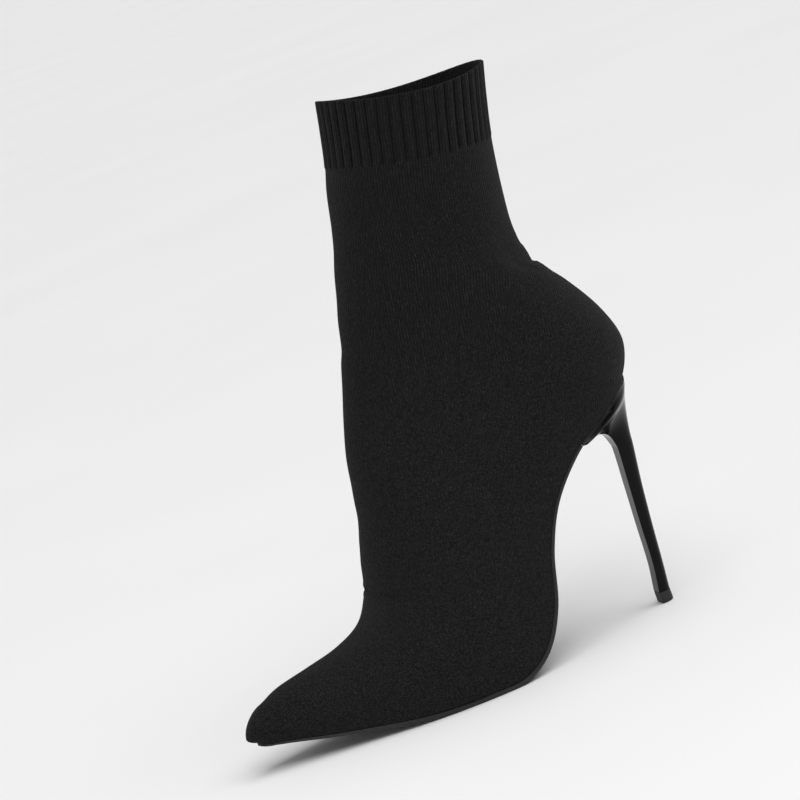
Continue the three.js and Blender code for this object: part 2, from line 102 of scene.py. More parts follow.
# Sections of the foot from the toe to the back of the heel, as shares of the last's named sizes
FOOT_COLUMNS = (
    "x", "spring", "heel", "leg", "reach", "tilt", "outer", "inner", "edge_outer", "edge_inner",
    "low_shift", "top_shift", "widest", "round",
)
FOOT_ROWS = (
    (0.953, 0.88, 0, 0, 0.127, -7, 0.113, 0.113, 0.104, 0.104, -0.05, -0.05, 0.35, 2.1),
    (0.904, 0.76, 0, 0, 0.166, -5, 0.172, 0.166, 0.158, 0.152, -0.044, -0.05, 0.35, 2.1),
    (0.829, 0.54, 0, 0, 0.208, -6, 0.254, 0.243, 0.239, 0.229, -0.031, -0.05, 0.33, 2.05),
    (0.744, 0.32, 0, 0, 0.251, -3, 0.34, 0.333, 0.321, 0.314, -0.019, -0.05, 0.31, 2.0),
    (0.654, 0.11, 0, 0, 0.316, 5, 0.421, 0.415, 0.396, 0.396, 0, -0.05, 0.29, 1.95),
    (0.569, 0, 0, 0, 0.413, 15, 0.478, 0.472, 0.453, 0.447, 0.006, -0.05, 0.28, 1.9),
    (0.488, 0, 0, 0, 0.496, 25.8, 0.516, 0.484, 0.491, 0.447, 0.006, -0.05, 0.28, 1.88),
    (0.41, 0, 0.007, 0, 0.594, 33, 0.522, 0.472, 0.497, 0.409, 0.006, -0.05, 0.3, 1.88),
    (0.342, 0, 0.08, 0, 0.656, 38.4, 0.509, 0.453, 0.465, 0.34, 0.006, -0.044, 0.33, 1.9),
    (0.288, 0, 0.23, 0, 0.674, 43.4, 0.478, 0.44, 0.415, 0.289, 0.006, -0.038, 0.34, 1.9),
    (0.246, 0, 0.449, 0, 0.657, 51.4, 0.44, 0.428, 0.358, 0.277, 0.006, -0.025, 0.36, 1.92),
    (0.191, 0, 0.639, 0, 0.689, 56.9, 0.421, 0.421, 0.333, 0.296, 0, -0.019, 0.38, 1.95),
    (0.107, 0, 0.8, 0, 0.765, 61.1, 0.421, 0.421, 0.308, 0.302, 0, -0.019, 0.38, 1.95),
    (0.024, 0, 0.887, 0, 0.862, 62.2, 0.421, 0.428, 0.27, 0.27, 0, -0.013, 0.4, 2.0),
    (-0.038, 0, 0.96, 0, 0.935, 63, 0.428, 0.44, 0.252, 0.252, 0, 0, 0.36, 2.0),
    (-0.08, 0, 1, 0, 0.983, 63, 0.44, 0.447, 0.252, 0.252, 0, 0, 0.34, 2.0),
    (-0.109, 0, 1, 0.095, 0.992, 65, 0.44, 0.453, 0, 0, 0, 0, 0.4, 2.0),
    (-0.087, 0, 1, 0.203, 0.917, 66.8, 0.434, 0.447, 0, 0, 0, 0, 0.46, 2.0),
    (-0.036, 0, 1, 0.317, 0.803, 67.1, 0.415, 0.428, 0, 0, 0, 0, 0.5, 2.0),
)
# Sections of the leg from the ankle to the collar. dip is how far one hangs between front and back
LEG_COLUMNS = ("x", "leg", "reach", "tilt", "outer", "inner", "dip")
LEG_ROWS = (
    (0.024, 0.421, 1.167, 66.1, 0.426, 0.432, 0),
    (0.038, 0.514, 1.083, 65.7, 0.426, 0.426, 0),
    (0.031, 0.634, 1.029, 71.4, 0.446, 0.446, 0.008),
    (0.014, 0.785, 0.986, 80.1, 0.48, 0.48, 0.03),
    (-0.006, 0.896, 0.986, 82, 0.49, 0.49, 0.045),
    (-0.028, 1, 1, 83.1, 0.5, 0.5, 0.06),
)
WIDTH_COLUMNS = ("outer", "inner", "edge_outer", "edge_inner", "low_shift", "top_shift")
SECTION_NAMES = ("x", "z", "tilt", "reach", *WIDTH_COLUMNS, "widest", "round", "dip")


@dataclass(frozen=True)
class Last:
    """The last and the leg: the form that every piece takes its shape from."""

    foot_length: float = 211.0
    ball_width: float = 79.5
    instep_reach: float = 138.0
    heel_height: float = 110.0
    toe_spring: float = 13.0
    toe_round: float = 10.6
    nose_taper: float = 0.2
    nose_lift: float = 4.5
    nose_close: float = math.radians(40.0)
    seat_round: float = 20.2
    shaft_height: float = 162.5
    collar_depth: float = 80.0
    collar_width: float = 74.0
    outsole: float = 2.6
    gap: float = 0.3
    seat_row: int = 15
    cuff_row: int = 22
    arc_points: int = 48
    widest_edge_share: float = 0.97
    sections: np.ndarray = field(init=False, repr=False)

    def __post_init__(self) -> None:
        """Turns the tables of shares into sections in millimetres."""
        foot = [self._foot_section(dict(zip(FOOT_COLUMNS, row))) for row in FOOT_ROWS]
        leg = [self._leg_section(dict(zip(LEG_COLUMNS, row))) for row in LEG_ROWS]
        object.__setattr__(self, "sections", np.array(foot + leg, float))

    @property
    def sole_top(self) -> float:
        """Height of the feather line over the flat of the ball."""
        return self.outsole + self.gap

    @property
    def last_row(self) -> int:
        """Row of the collar."""
        return len(self.sections) - 1

    def _foot_section(self, row: dict[str, float]) -> list[float]:
        """One row of the foot in millimetres.

        Args:
            row: Shares of the named sizes.

        Returns:
            The values of SECTION_NAMES.
        """
        rise = row["heel"] * (self.heel_height - self.sole_top) + row["leg"] * self.shaft_height
        widths = [row[name] * self.ball_width for name in WIDTH_COLUMNS]
        return [
            row["x"] * self.foot_length,
            self.sole_top + row["spring"] * self.toe_spring + rise,
            math.radians(row["tilt"]),
            row["reach"] * self.instep_reach,
            *widths,
            row["widest"],
            row["round"],
            0.0,
        ]

    def _leg_section(self, row: dict[str, float]) -> list[float]:
        """One row of the leg in millimetres.

        Args:
            row: Shares of the named sizes.

        Returns:
            The values of SECTION_NAMES.
        """
        no_edges_or_shifts = [0.0, 0.0, 0.0, 0.0]
        ellipse = [0.5, 2.0]
        return [
            row["x"] * self.foot_length,
            self.heel_height + row["leg"] * self.shaft_height,
            math.radians(row["tilt"]),
            row["reach"] * self.collar_depth,
            row["outer"] * self.collar_width,
            row["inner"] * self.collar_width,
            *no_edges_or_shifts,
            *ellipse,
            row["dip"] * self.collar_depth,
        ]

    def section(self, t: float) -> dict[str, float]:
        """The section at row t, counted from the toe."""
        return dict(zip(SECTION_NAMES, curve_through(self.sections, t)))

    def feather_half(self, t: float, side: Side, inset: float = 0.0) -> float:
        """Half width of the feather line, which closes in a round behind the heel.

        Args:
            t: Row.
            side: Side of the foot.
            inset: How far inside the line.

        Returns:
            Half width in millimetres.
        """
        if t >= self.seat_row:
            return 0.0
        at = self.section(t)
        corner = self.section(self.seat_row)
        straight = at[side.edge] - inset
        distance = math.hypot(at["x"] - corner["x"], at["z"] - corner["z"])
        if distance >= self.seat_round:
            return straight
        chord = (self.seat_round - inset) ** 2 - (self.seat_round - distance) ** 2
        return min(straight, math.sqrt(max(chord, 0.0)))

    def half_outline(self, at: dict[str, float], half: float, edge: float) -> np.ndarray:
        """One side of a section: from the feather line to the widest point and on to the crown.

        Args:
            at: The section.
            half: Its half width on this side.
            edge: Half width of the feather line there.

        Returns:
            Points (across, up) in millimetres.
        """
        start = math.asin(min(edge / half, self.widest_edge_share))
        waist = at["widest"] * at["reach"]
        low = np.linspace(start, math.pi / 2, self.arc_points, endpoint=False)
        high = np.linspace(math.pi / 2, 0.0, self.arc_points + 1)
        power = 2.0 / at["round"]
        across = np.clip(np.sin(high), 0.0, 1.0) ** power
        up = np.clip(np.cos(high), 0.0, 1.0) ** power
        lower = np.column_stack([half * np.sin(low), waist * (1 - np.cos(low) / math.cos(start))])
        upper = np.column_stack([half * across, waist + (at["reach"] - waist) * up])
        return np.vstack([lower, upper])

    def half_ring(
        self, t: float, side: Side, shares: np.ndarray, away: np.ndarray, edge_share: float = 1.0
    ) -> np.ndarray:
        """Points along one side of the ring at row t, from the feather line to the crown.

        Args:
            t: Row.
            side: Side of the foot.
            shares: Places along the side, from 0 to 1.
            away: How far each point is moved outward.
            edge_share: How much of the opening underneath is left.

        Returns:
            Points in millimetres, one for each share.
        """
        at = self.section(t)
        half = at[side.half]
        outline = self.half_outline(at, half, edge_share * self.feather_half(t, side))
        straight = run_lengths(self.half_outline(at, half, max(at[side.edge], 0.0)))
        split = straight[self.arc_points] / straight[-1]
        run = run_lengths(outline)
        waist_run = run[self.arc_points]
        upper = waist_run + (run[-1] - waist_run) * (shares - split) / (1 - split)
        target = np.where(shares < split, waist_run * shares / split, upper)
        normals = outline_normals(outline)
        across = np.interp(target, run, outline[:, 0]) + away * np.interp(target, run, normals[:, 0])
        up = np.interp(target, run, outline[:, 1]) + away * np.interp(target, run, normals[:, 1])
        share_up = up / at["reach"]
        shift = at["low_shift"] + (at["top_shift"] - at["low_shift"]) * share_up
        drop = 4 * at["dip"] * share_up * (1 - share_up)
        lean_x = math.sin(at["tilt"])
        lean_z = math.cos(at["tilt"])
        return np.column_stack([
            at["x"] + lean_x * up + lean_z * drop,
            shift + side.sign * across,
            at["z"] + lean_z * up - lean_x * drop,
        ])

    def ring(self, t: float, shares: np.ndarray, away: np.ndarray, edge_share: float = 1.0) -> np.ndarray:
        """A whole ring, from the outer feather edge over the crown to the inner one.

        Args:
            t: Row.
            shares: Places along each side, from 0 to 1.
            away: How far each point is moved outward, the same on both sides.
            edge_share: How much of the opening underneath is left.

        Returns:
            Points in millimetres.
        """
        outer = self.half_ring(t, Side.OUTER, shares, away, edge_share)
        inner = self.half_ring(t, Side.INNER, shares, away, edge_share)
        return np.vstack([outer, inner[-2::-1]])

    @property
    def nose_root(self) -> np.ndarray:
        """The point that the nose's rings shrink to, before they are moved ahead."""
        first = self.section(0.0)
        return np.array([first["x"], first["low_shift"], first["z"] + self.nose_lift])

    def nose_scale(self, angle: float) -> float:
        """Size of the nose at an angle from its root: a taper on a quarter round."""
        return math.cos(angle) * (1 - self.nose_taper * math.sin(angle))

    def nose_rise(self, ahead: float) -> float:
        """Height of the nose's lower edge over the feather line, this far ahead of the first section."""
        return self.nose_lift * (1 - self.nose_scale(math.asin(ahead / self.toe_round)))

    def nose_ring(self, angle: float, shares: np.ndarray, away: np.ndarray, length: float) -> np.ndarray:
        """A ring of the nose: the first section, closing underneath, shrunk and moved ahead.

        Args:
            angle: Its angle from the nose's root.
            shares: Places along each side, from 0 to 1.
            away: How far each point is moved outward.
            length: Length of the nose.

        Returns:
            Points in millimetres.
        """
        gone = math.sin(angle) / math.sin(self.nose_close)
        edge_share = math.sqrt(max(1 - gone * gone, 0.0))
        ring = self.ring(0.0, shares, away, edge_share)
        ahead = np.array([length * math.sin(angle), 0.0, 0.0])
        return self.nose_root + (ring - self.nose_root) * self.nose_scale(angle) + ahead

    def feather_point(self, t: float, away: float) -> np.ndarray:
        """A point on the feather line, moved square to it: up and forward where away is positive.

        Args:
            t: Row.
            away: Distance from the line.

        Returns:
            The point (x, side shift, z).
        """
        step = 0.01
        level = min(t, self.seat_row - 1)
        at = self.section(t)
        before = self.section(max(level - step, 0.0))
        after = self.section(level + step)
        ahead = after["x"] - before["x"]
        rise = after["z"] - before["z"]
        run = math.hypot(ahead, rise)
        return np.array([at["x"] + away * rise / run, at["low_shift"], at["z"] - away * ahead / run])

    def rows_per_mm(self, t: float) -> float:
        """Rows passed for each millimetre along the feather line.

        Args:
            t: Row where the millimetre starts.

        Returns:
            The share of a row.
        """
        here = self.section(t)
        there = self.section(t + 1)
        return 1.0 / math.hypot(there["x"] - here["x"], there["z"] - here["z"])

    def row_at(self, x: float) -> float:
        """The row under the heel's breast at which the feather line has this x.

        Args:
            x: Place ahead of the heel tip's centre.

        Returns:
            The row, found by halving.
        """
        rows_under_heel = 6.0
        halvings = 30
        low = self.seat_row - rows_under_heel
        high = float(self.seat_row)
        for _ in range(halvings):
            middle = (low + high) / 2
            if self.section(middle)["x"] > x:
                low = middle
            else:
                high = middle
        return low


def run_lengths(points: np.ndarray) -> np.ndarray:
    """Lengths along a line of points, from its first point to each."""
    steps = np.linalg.norm(np.diff(points, axis=0), axis=1)
    return np.concatenate([[0.0], np.cumsum(steps)])


def outline_normals(points: np.ndarray) -> np.ndarray:
    """Outward directions of a section's outline.

    Args:
        points: The outline from the feather line to the crown.

    Returns:
        Directions of length 1. The crown looks up, and a closed bottom down.
    """
    before = np.vstack([points[:1], points[:-1]])
    after = np.vstack([points[1:], points[-1:]])
    along = after - before
    run = np.linalg.norm(along, axis=1)
    normals = np.column_stack([along[:, 1], -along[:, 0]]) / run[:, None]
    normals[-1] = (0.0, 1.0)
    if points[0, 0] == 0.0:
        normals[0] = (0.0, -1.0)
    return normals


@dataclass
class Skin:
    """A mesh gathered from points and faces."""

    points: list[np.ndarray] = field(default_factory=list)
    faces: list[tuple[int, ...]] = field(default_factory=list)
    count: int = 0

    def add(self, points: np.ndarray) -> np.ndarray:
        """Adds points.

        Args:
            points: Places in millimetres.

        Returns:
            Their numbers.
        """
        ids = np.arange(self.count, self.count + len(points))
        self.points.append(points)
        self.count += len(points)
        return ids

    def face(self, *ids: int) -> None:
        """Adds a face and leaves out corners that are the same point."""
        kept = [a for i, a in enumerate(ids) if a != ids[i - 1]]
        if len(kept) > 2:
            self.faces.append(tuple(int(a) for a in kept))

    def strip(self, front: np.ndarray, back: np.ndarray) -> None:
        """Faces between two lines with the same number of points."""
        for j in range(len(front) - 1):
            self.face(front[j], back[j], back[j + 1], front[j + 1])

    def stitch(self, coarse: np.ndarray, fine: np.ndarray) -> None:
        """Faces between a coarse line and one with a whole number of steps for each coarse step.

        Args:
            coarse: Numbers of the coarse line's points.
            fine: Numbers of the fine line's points.
        """
        ratio = (len(fine) - 1) // (len(coarse) - 1)
        for j in range(len(coarse) - 1):
            own = [fine[j * ratio + k] for k in range(ratio + 1)]
            for k in range(ratio):
                near = coarse[j] if k < ratio / 2 else coarse[j + 1]
                self.face(near, own[k + 1], own[k])
            self.face(coarse[j], coarse[j + 1], own[math.ceil(ratio / 2)])

    def cap(self, ring: np.ndarray, flip: bool) -> None:
        """Closes a ring with strips between points that mirror each other about its first point.

        Args:
            ring: Numbers of its points.
            flip: Whether the faces look the other way.
        """
        count = len(ring)
        for i in range(count // 2):
            quad = [ring[i], ring[i + 1], ring[(count - i - 1) % count], ring[(count - i) % count]]
            self.face(*(quad[::-1] if flip else quad))

    def mesh(self, name: str) -> bpy.types.Mesh:
        """The gathered faces as a mesh in metres.

        Args:
            name: Name of the mesh.

        Returns:
            The mesh.
        """
        mesh = bpy.data.meshes.new(name)
        mesh.from_pydata((np.vstack(self.points) * MM).tolist(), [], self.faces)
        mesh.update()
        return mesh


def loft(name: str, rings: list[np.ndarray]) -> bpy.types.Mesh:
    """A solid through closed rings of as many points, anticlockwise as seen from the last.

    Args:
        name: Name of the mesh.
        rings: Rings in millimetres.

    Returns:
        The closed mesh.
    """
    skin = Skin()
    ids = [skin.add(ring) for ring in rings]
    closed = [np.append(ring, ring[0]) for ring in ids]
    for low, high in zip(closed, closed[1:]):
        skin.strip(high, low)
    skin.cap(ids[0], True)
    skin.cap(ids[-1], False)
    return skin.mesh(name)


def finish_piece(
    mesh: bpy.types.Mesh,
    material: bpy.types.Material,
    replaced: str,
    crisp: float = 40.0,
) -> bpy.types.Object:
    """Puts a mesh into the scene as the piece that stands for a node.

    Args:
        mesh: Its mesh in metres.
        material: Its finish.
        replaced: The node that it stands for.
        crisp: Edges sharper than this many degrees stay sharp.

    Returns:
        The new object.
    """
    piece = bpy.data.objects.new(mesh.name, mesh)
    bpy.context.scene.collection.objects.link(piece)
    mesh.materials.append(material)
    mesh.shade_smooth()
    mesh.set_sharp_from_angle(angle=math.radians(crisp))
    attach(piece, BODY)
    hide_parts(replaced)
    log.info("%s: %d vertices, %d faces", piece.name, len(mesh.vertices), len(mesh.polygons))
    return piece


class Wiring:
    """Shader nodes of one material, made and linked in short calls."""

    def __init__(self, name: str) -> None:
        """Starts a material with its shader and output.

        Args:
            name: Its name.
        """
        self.material = bpy.data.materials.new(name)
        self.material.use_nodes = True
        self.tree = self.material.node_tree
        self.shader = self.tree.nodes["Principled BSDF"]

    def _feed(self, socket: bpy.types.NodeSocket, value: object) -> None:
        """Links a socket, or sets its value.

        Args:
            socket: The input that is fed.
            value: An output, a value, or None to leave it.
        """
        if isinstance(value, bpy.types.NodeSocket):
            self.tree.links.new(value, socket)
        elif value is not None:
            socket.default_value = value

    def math(self, operation: str, a: object, b: object = None) -> bpy.types.NodeSocket:
        """One sum, product or other operation.

        Args:
            operation: Blender's name of it.
            a: First value or socket.
            b: Second one, if it takes two.

        Returns:
            The result's socket.
        """
        node = self.tree.nodes.new("ShaderNodeMath")
        node.operation = operation
        self._feed(node.inputs[0], a)
        self._feed(node.inputs[1], b)
        return node.outputs[0]

    def attribute(self, name: str) -> bpy.types.NodeSocket:
        """A value that the mesh holds for each vertex.

        Args:
            name: Name of the attribute.

        Returns:
            Its socket.
        """
        node = self.tree.nodes.new("ShaderNodeAttribute")
        node.attribute_name = name
        return node.outputs["Fac"]

    def knit_coordinates(self, uv_map: str) -> tuple[bpy.types.NodeSocket, bpy.types.NodeSocket]:
        """The two coordinates of a UV map.

        Args:
            uv_map: Name of the map.

        Returns:
            Sockets of the place among the columns and of the length along them.
        """
        node = self.tree.nodes.new("ShaderNodeUVMap")
        node.uv_map = uv_map
        split = self.tree.nodes.new("ShaderNodeSeparateXYZ")
        self.tree.links.new(node.outputs[0], split.inputs[0])
        return split.outputs[0], split.outputs[1]

    def noise(self, per_metre: float, detail: float = 2.0, roughness: float = 0.5) -> bpy.types.NodeSocket:
        """Soft noise in the object's own space.

        Args:
            per_metre: Features in a metre.
            detail: Finer layers on top.
            roughness: Strength of the finer layers.

        Returns:
            The noise's socket.
        """
        place = self.tree.nodes.new("ShaderNodeTexCoord")
        node = self.tree.nodes.new("ShaderNodeTexNoise")
        self.tree.links.new(place.outputs["Object"], node.inputs["Vector"])
        node.inputs["Scale"].default_value = per_metre
        node.inputs["Detail"].default_value = detail
        node.inputs["Roughness"].default_value = roughness
        return node.outputs["Fac"]

    def span(
        self, value: object, low: float, high: float, to_low: float = 0.0, to_high: float = 1.0
    ) -> bpy.types.NodeSocket:
        """A value mapped from one range to another and kept in it.

        Args:
            value: Value or socket.
            low: Start of its range.
            high: End of its range.
            to_low: Result at the start.
            to_high: Result at the end.

        Returns:
            The result's socket.
        """
        node = self.tree.nodes.new("ShaderNodeMapRange")
        self._feed(node.inputs["Value"], value)
        ends = {"From Min": low, "From Max": high, "To Min": to_low, "To Max": to_high}
        for name, number in ends.items():
            node.inputs[name].default_value = number
        return node.outputs["Result"]

    def blend(self, share: object, a: object, b: object) -> bpy.types.NodeSocket:
        """A number between two others.

        Args:
            share: How far it has gone from a to b.
            a: Value or socket.
            b: Value or socket.

        Returns:
            The result's socket.
        """
        node = self.tree.nodes.new("ShaderNodeMix")
        node.data_type = "FLOAT"
        for socket, value in zip((node.inputs[0], node.inputs[2], node.inputs[3]), (share, a, b)):
            self._feed(socket, value)
        return node.outputs[0]

    def tint(self, share: object, a: object, b: object) -> bpy.types.NodeSocket:
        """A colour between two others.

        Args:
            share: How far it has gone from a to b.
            a: Colour socket, or red, green and blue.
            b: Colour socket, or red, green and blue.

        Returns:
            The colour's socket.
        """
        node = self.tree.nodes.new("ShaderNodeMix")
        node.data_type = "RGBA"
        self._feed(node.inputs[0], share)
        for socket, value in ((node.inputs[6], a), (node.inputs[7], b)):
            self._feed(socket, value if isinstance(value, bpy.types.NodeSocket) else (*value, 1.0))
        return node.outputs[2]

    def bump(
        self, height: object, depth: float, strength: float = 1.0, below: object = None
    ) -> bpy.types.NodeSocket:
        """A bump, laid on the one below it.

        Args:
            height: Socket of its height, from 0 to 1.
            depth: Its depth in metres.
            strength: How much of it shows.
            below: Socket of the bump below.

        Returns:
            The normal's socket.
        """
        node = self.tree.nodes.new("ShaderNodeBump")
        node.inputs["Strength"].default_value = strength
        node.inputs["Distance"].default_value = depth
        self._feed(node.inputs["Height"], height)
        self._feed(node.inputs["Normal"], below)
        return node.outputs[0]

    def surface(self, **sockets: object) -> bpy.types.Material:
        """Feeds the shader's sockets.

        Args:
            **sockets: Values or sockets by the socket's name, with underscores for spaces.

        Returns:
            The finished material.
        """
        for name, value in sockets.items():
            socket = self.shader.inputs[name.replace("_", " ")]
            self._feed(socket, (*value, 1.0) if isinstance(value, tuple) and len(value) == 3 else value)
        return self.material


@dataclass(frozen=True)
class KnitFinish:
    """Charcoal jersey: columns of stitches on the leg, a plain fine knit on the foot, with painted shade
    in the stitches' hollows and the ribs' grooves.
    """

    yarn: tuple[float, float, float] = (0.003, 0.003, 0.0031)
    pale_yarn: tuple[float, float, float] = (0.0108, 0.0108, 0.011)
    fleck: tuple[float, float, float] = (0.038, 0.038, 0.039)
    # Colour of the painted shade in the stitches' hollows and in the grooves of the cuff's ribs
    painted_shade: tuple[float, float, float] = (0.002, 0.002, 0.0021)
    course: float = 0.95
    foot_course: float = 0.8
    slant: float = 1.1
    relief: float = 0.00042

    def _stitches(
        self, wiring: Wiring, uv_map: str, course: float
    ) -> tuple[bpy.types.NodeSocket, bpy.types.NodeSocket]:
        """Height of the columns, and of their V-shaped stitches.

        Args:
            wiring: The material that is wired.
            uv_map: Map of the place among the columns and of the length along them.
            course: Length of a stitch in millimetres.

        Returns:
            Sockets of the column's and of the stitch's height.
        """
        around, along = wiring.knit_coordinates(uv_map)
        column = wiring.math("FRACT", around)
        off_middle = wiring.math("ABSOLUTE", wiring.math("SUBTRACT", column, 0.5))
        crown = wiring.math("COSINE", wiring.math("MULTIPLY", off_middle, math.pi))
        rise = wiring.math("MULTIPLY", along, 1.0 / course)
        slant = wiring.math("MULTIPLY", off_middle, self.slant)
        phase = wiring.math("FRACT", wiring.math("SUBTRACT", rise, slant))
        loop = wiring.math("SINE", wiring.math("MULTIPLY", phase, math.pi))
        return crown, loop

    def material(self) -> bpy.types.Material:
        """The knit's material.

        Returns:
            The finished material.
        """
        wiring = Wiring("charcoal_knit")
        leg_crown, leg_loop = self._stitches(wiring, "leg_wales", self.course)
        foot_crown, foot_loop = self._stitches(wiring, "foot_wales", self.foot_course)
        leg = wiring.attribute("leg_knit")
        # Depth in the grooves of the cuff's ribs, used only to paint shade into them
        groove_shade = wiring.attribute("rib_groove_shade")
        crown = wiring.blend(leg, wiring.span(foot_crown, 0.0, 1.0, 0.45, 1.0), leg_crown)
        loop = wiring.blend(leg, foot_loop, leg_loop)
        stitch = wiring.math("MULTIPLY", crown, wiring.span(loop, 0.0, 1.0, 0.6, 1.0))

        heather = wiring.span(wiring.noise(1500.0, 3.0, 0.7), 0.5, 0.72)
        mottle = wiring.span(wiring.noise(820.0, 3.0, 0.75), 0.38, 0.64)
        share = wiring.math("MULTIPLY", heather, wiring.span(stitch, 0.2, 0.9, 0.15, 1.0))
        yarn = wiring.tint(mottle, self.yarn, self.pale_yarn)
        colour = wiring.tint(share, yarn, self.fleck)
        # Painted shade: the colour darkens in the hollows between stitches and in the grooves of the
        # cuff's ribs
        hollow_shade = wiring.span(stitch, 0.0, 0.55, 0.75, 0.0)
        painted_shade_share = wiring.math("MAXIMUM", hollow_shade, wiring.span(groove_shade, 0.2, 1.0, 0.0, 0.92))
        colour = wiring.tint(painted_shade_share, colour, self.painted_shade)

        uneven = wiring.bump(wiring.noise(110.0, 2.0), 0.0005, 0.5)
        fuzz = wiring.bump(wiring.noise(3000.0, 3.0, 0.7), 0.00012, 0.6, uneven)
        relief = wiring.bump(stitch, self.relief, 0.8, fuzz)
        return wiring.surface(
            Base_Color=colour,
            Roughness=0.88,
            Normal=relief,
            Sheen_Weight=0.045,
            Sheen_Roughness=0.42,
            Sheen_Tint=(0.62, 0.62, 0.66),
            Specular_IOR_Level=0.12,
        )


@dataclass(frozen=True)
class LacquerFinish:
    """Black lacquer with a mirror gloss, as on the stem and the wings of the heel."""

    colour: tuple[float, float, float] = (0.0016, 0.0016, 0.0018)

    def material(self) -> bpy.types.Material:
        """The heel's material.

        Returns:
            The finished material.
        """
        wiring = Wiring("black_lacquer")
        film = wiring.bump(wiring.noise(140.0, 2.0), 0.00006, 0.35)
        haze = wiring.span(wiring.noise(420.0, 3.0), 0.3, 0.75, 0.1, 0.17)
        return wiring.surface(
            Base_Color=self.colour,
            Roughness=haze,
            Normal=film,
            Specular_IOR_Level=0.03,
            Coat_Weight=0.45,
            Coat_Roughness=0.04,
            Coat_IOR=1.3,
        )


@dataclass(frozen=True)
class LeatherFinish:
    """Smooth black leather or fine rubber with a faint grain."""

    name: str
    colour: tuple[float, float, float]
    worn: tuple[float, float, float]
    roughness: float
    grain: float = 900.0
    relief: float = 0.00006

    def material(self) -> bpy.types.Material:
        """The piece's material.

        Returns:
            The finished material.
        """
        wiring = Wiring(self.name)
        pores = wiring.noise(self.grain, 4.0, 0.6)
        rubbed = wiring.span(wiring.noise(70.0, 3.0, 0.6), 0.45, 0.8)
        colour = wiring.tint(rubbed, self.colour, self.worn)
        gloss = wiring.span(pores, 0.3, 0.7, self.roughness - 0.06, self.roughness + 0.08)
        return wiring.surface(
            Base_Color=colour,
            Roughness=gloss,
            Normal=wiring.bump(pores, self.relief, 0.7),
            Specular_IOR_Level=0.4,
        )


SOLE_LEATHER = LeatherFinish("sole_leather", (0.0065, 0.0065, 0.007), (0.014, 0.014, 0.014), 0.42)
TIP_RUBBER = LeatherFinish(
    "tip_rubber", (0.011, 0.011, 0.011), (0.024, 0.024, 0.024), 0.62, grain=1400.0, relief=0.00008
)
SOCK_LINING = LeatherFinish(
    "sock_lining", (0.012, 0.0115, 0.0115), (0.02, 0.019, 0.018), 0.78, grain=1600.0, relief=0.0001
)


@dataclass(frozen=True)
class Crease:
    """A soft trough with low ridges beside it, through places (row, share around) on the knit."""

    places: tuple[tuple[float, float], ...]
    depth: float
    width: float
    ridge: float

    def on(self, side: Side) -> "Crease":
        """The crease on one side of the foot. The table holds the outer one."""
        mirrored = tuple((row, 1.0 - share) for row, share in self.places)
        return self if side is Side.OUTER else replace(self, places=mirrored)


# Creases of the outer side: across the vamp, at the ankle's notch, and in the tendon's hollow
CREASES = (
    Crease(((5.45, 0.53), (5.45, 0.5), (5.75, 0.42), (6.7, 0.34), (7.9, 0.24)), 0.45, 0.9, 0.5),
    Crease(((18.95, 0.0), (18.9, 0.05), (18.7, 0.13)), 1.5, 2.6, 0.3),
    Crease(((20.2, 0.10), (18.9, 0.11), (17.9, 0.13)), 0.9, 7.0, 0.15),
)


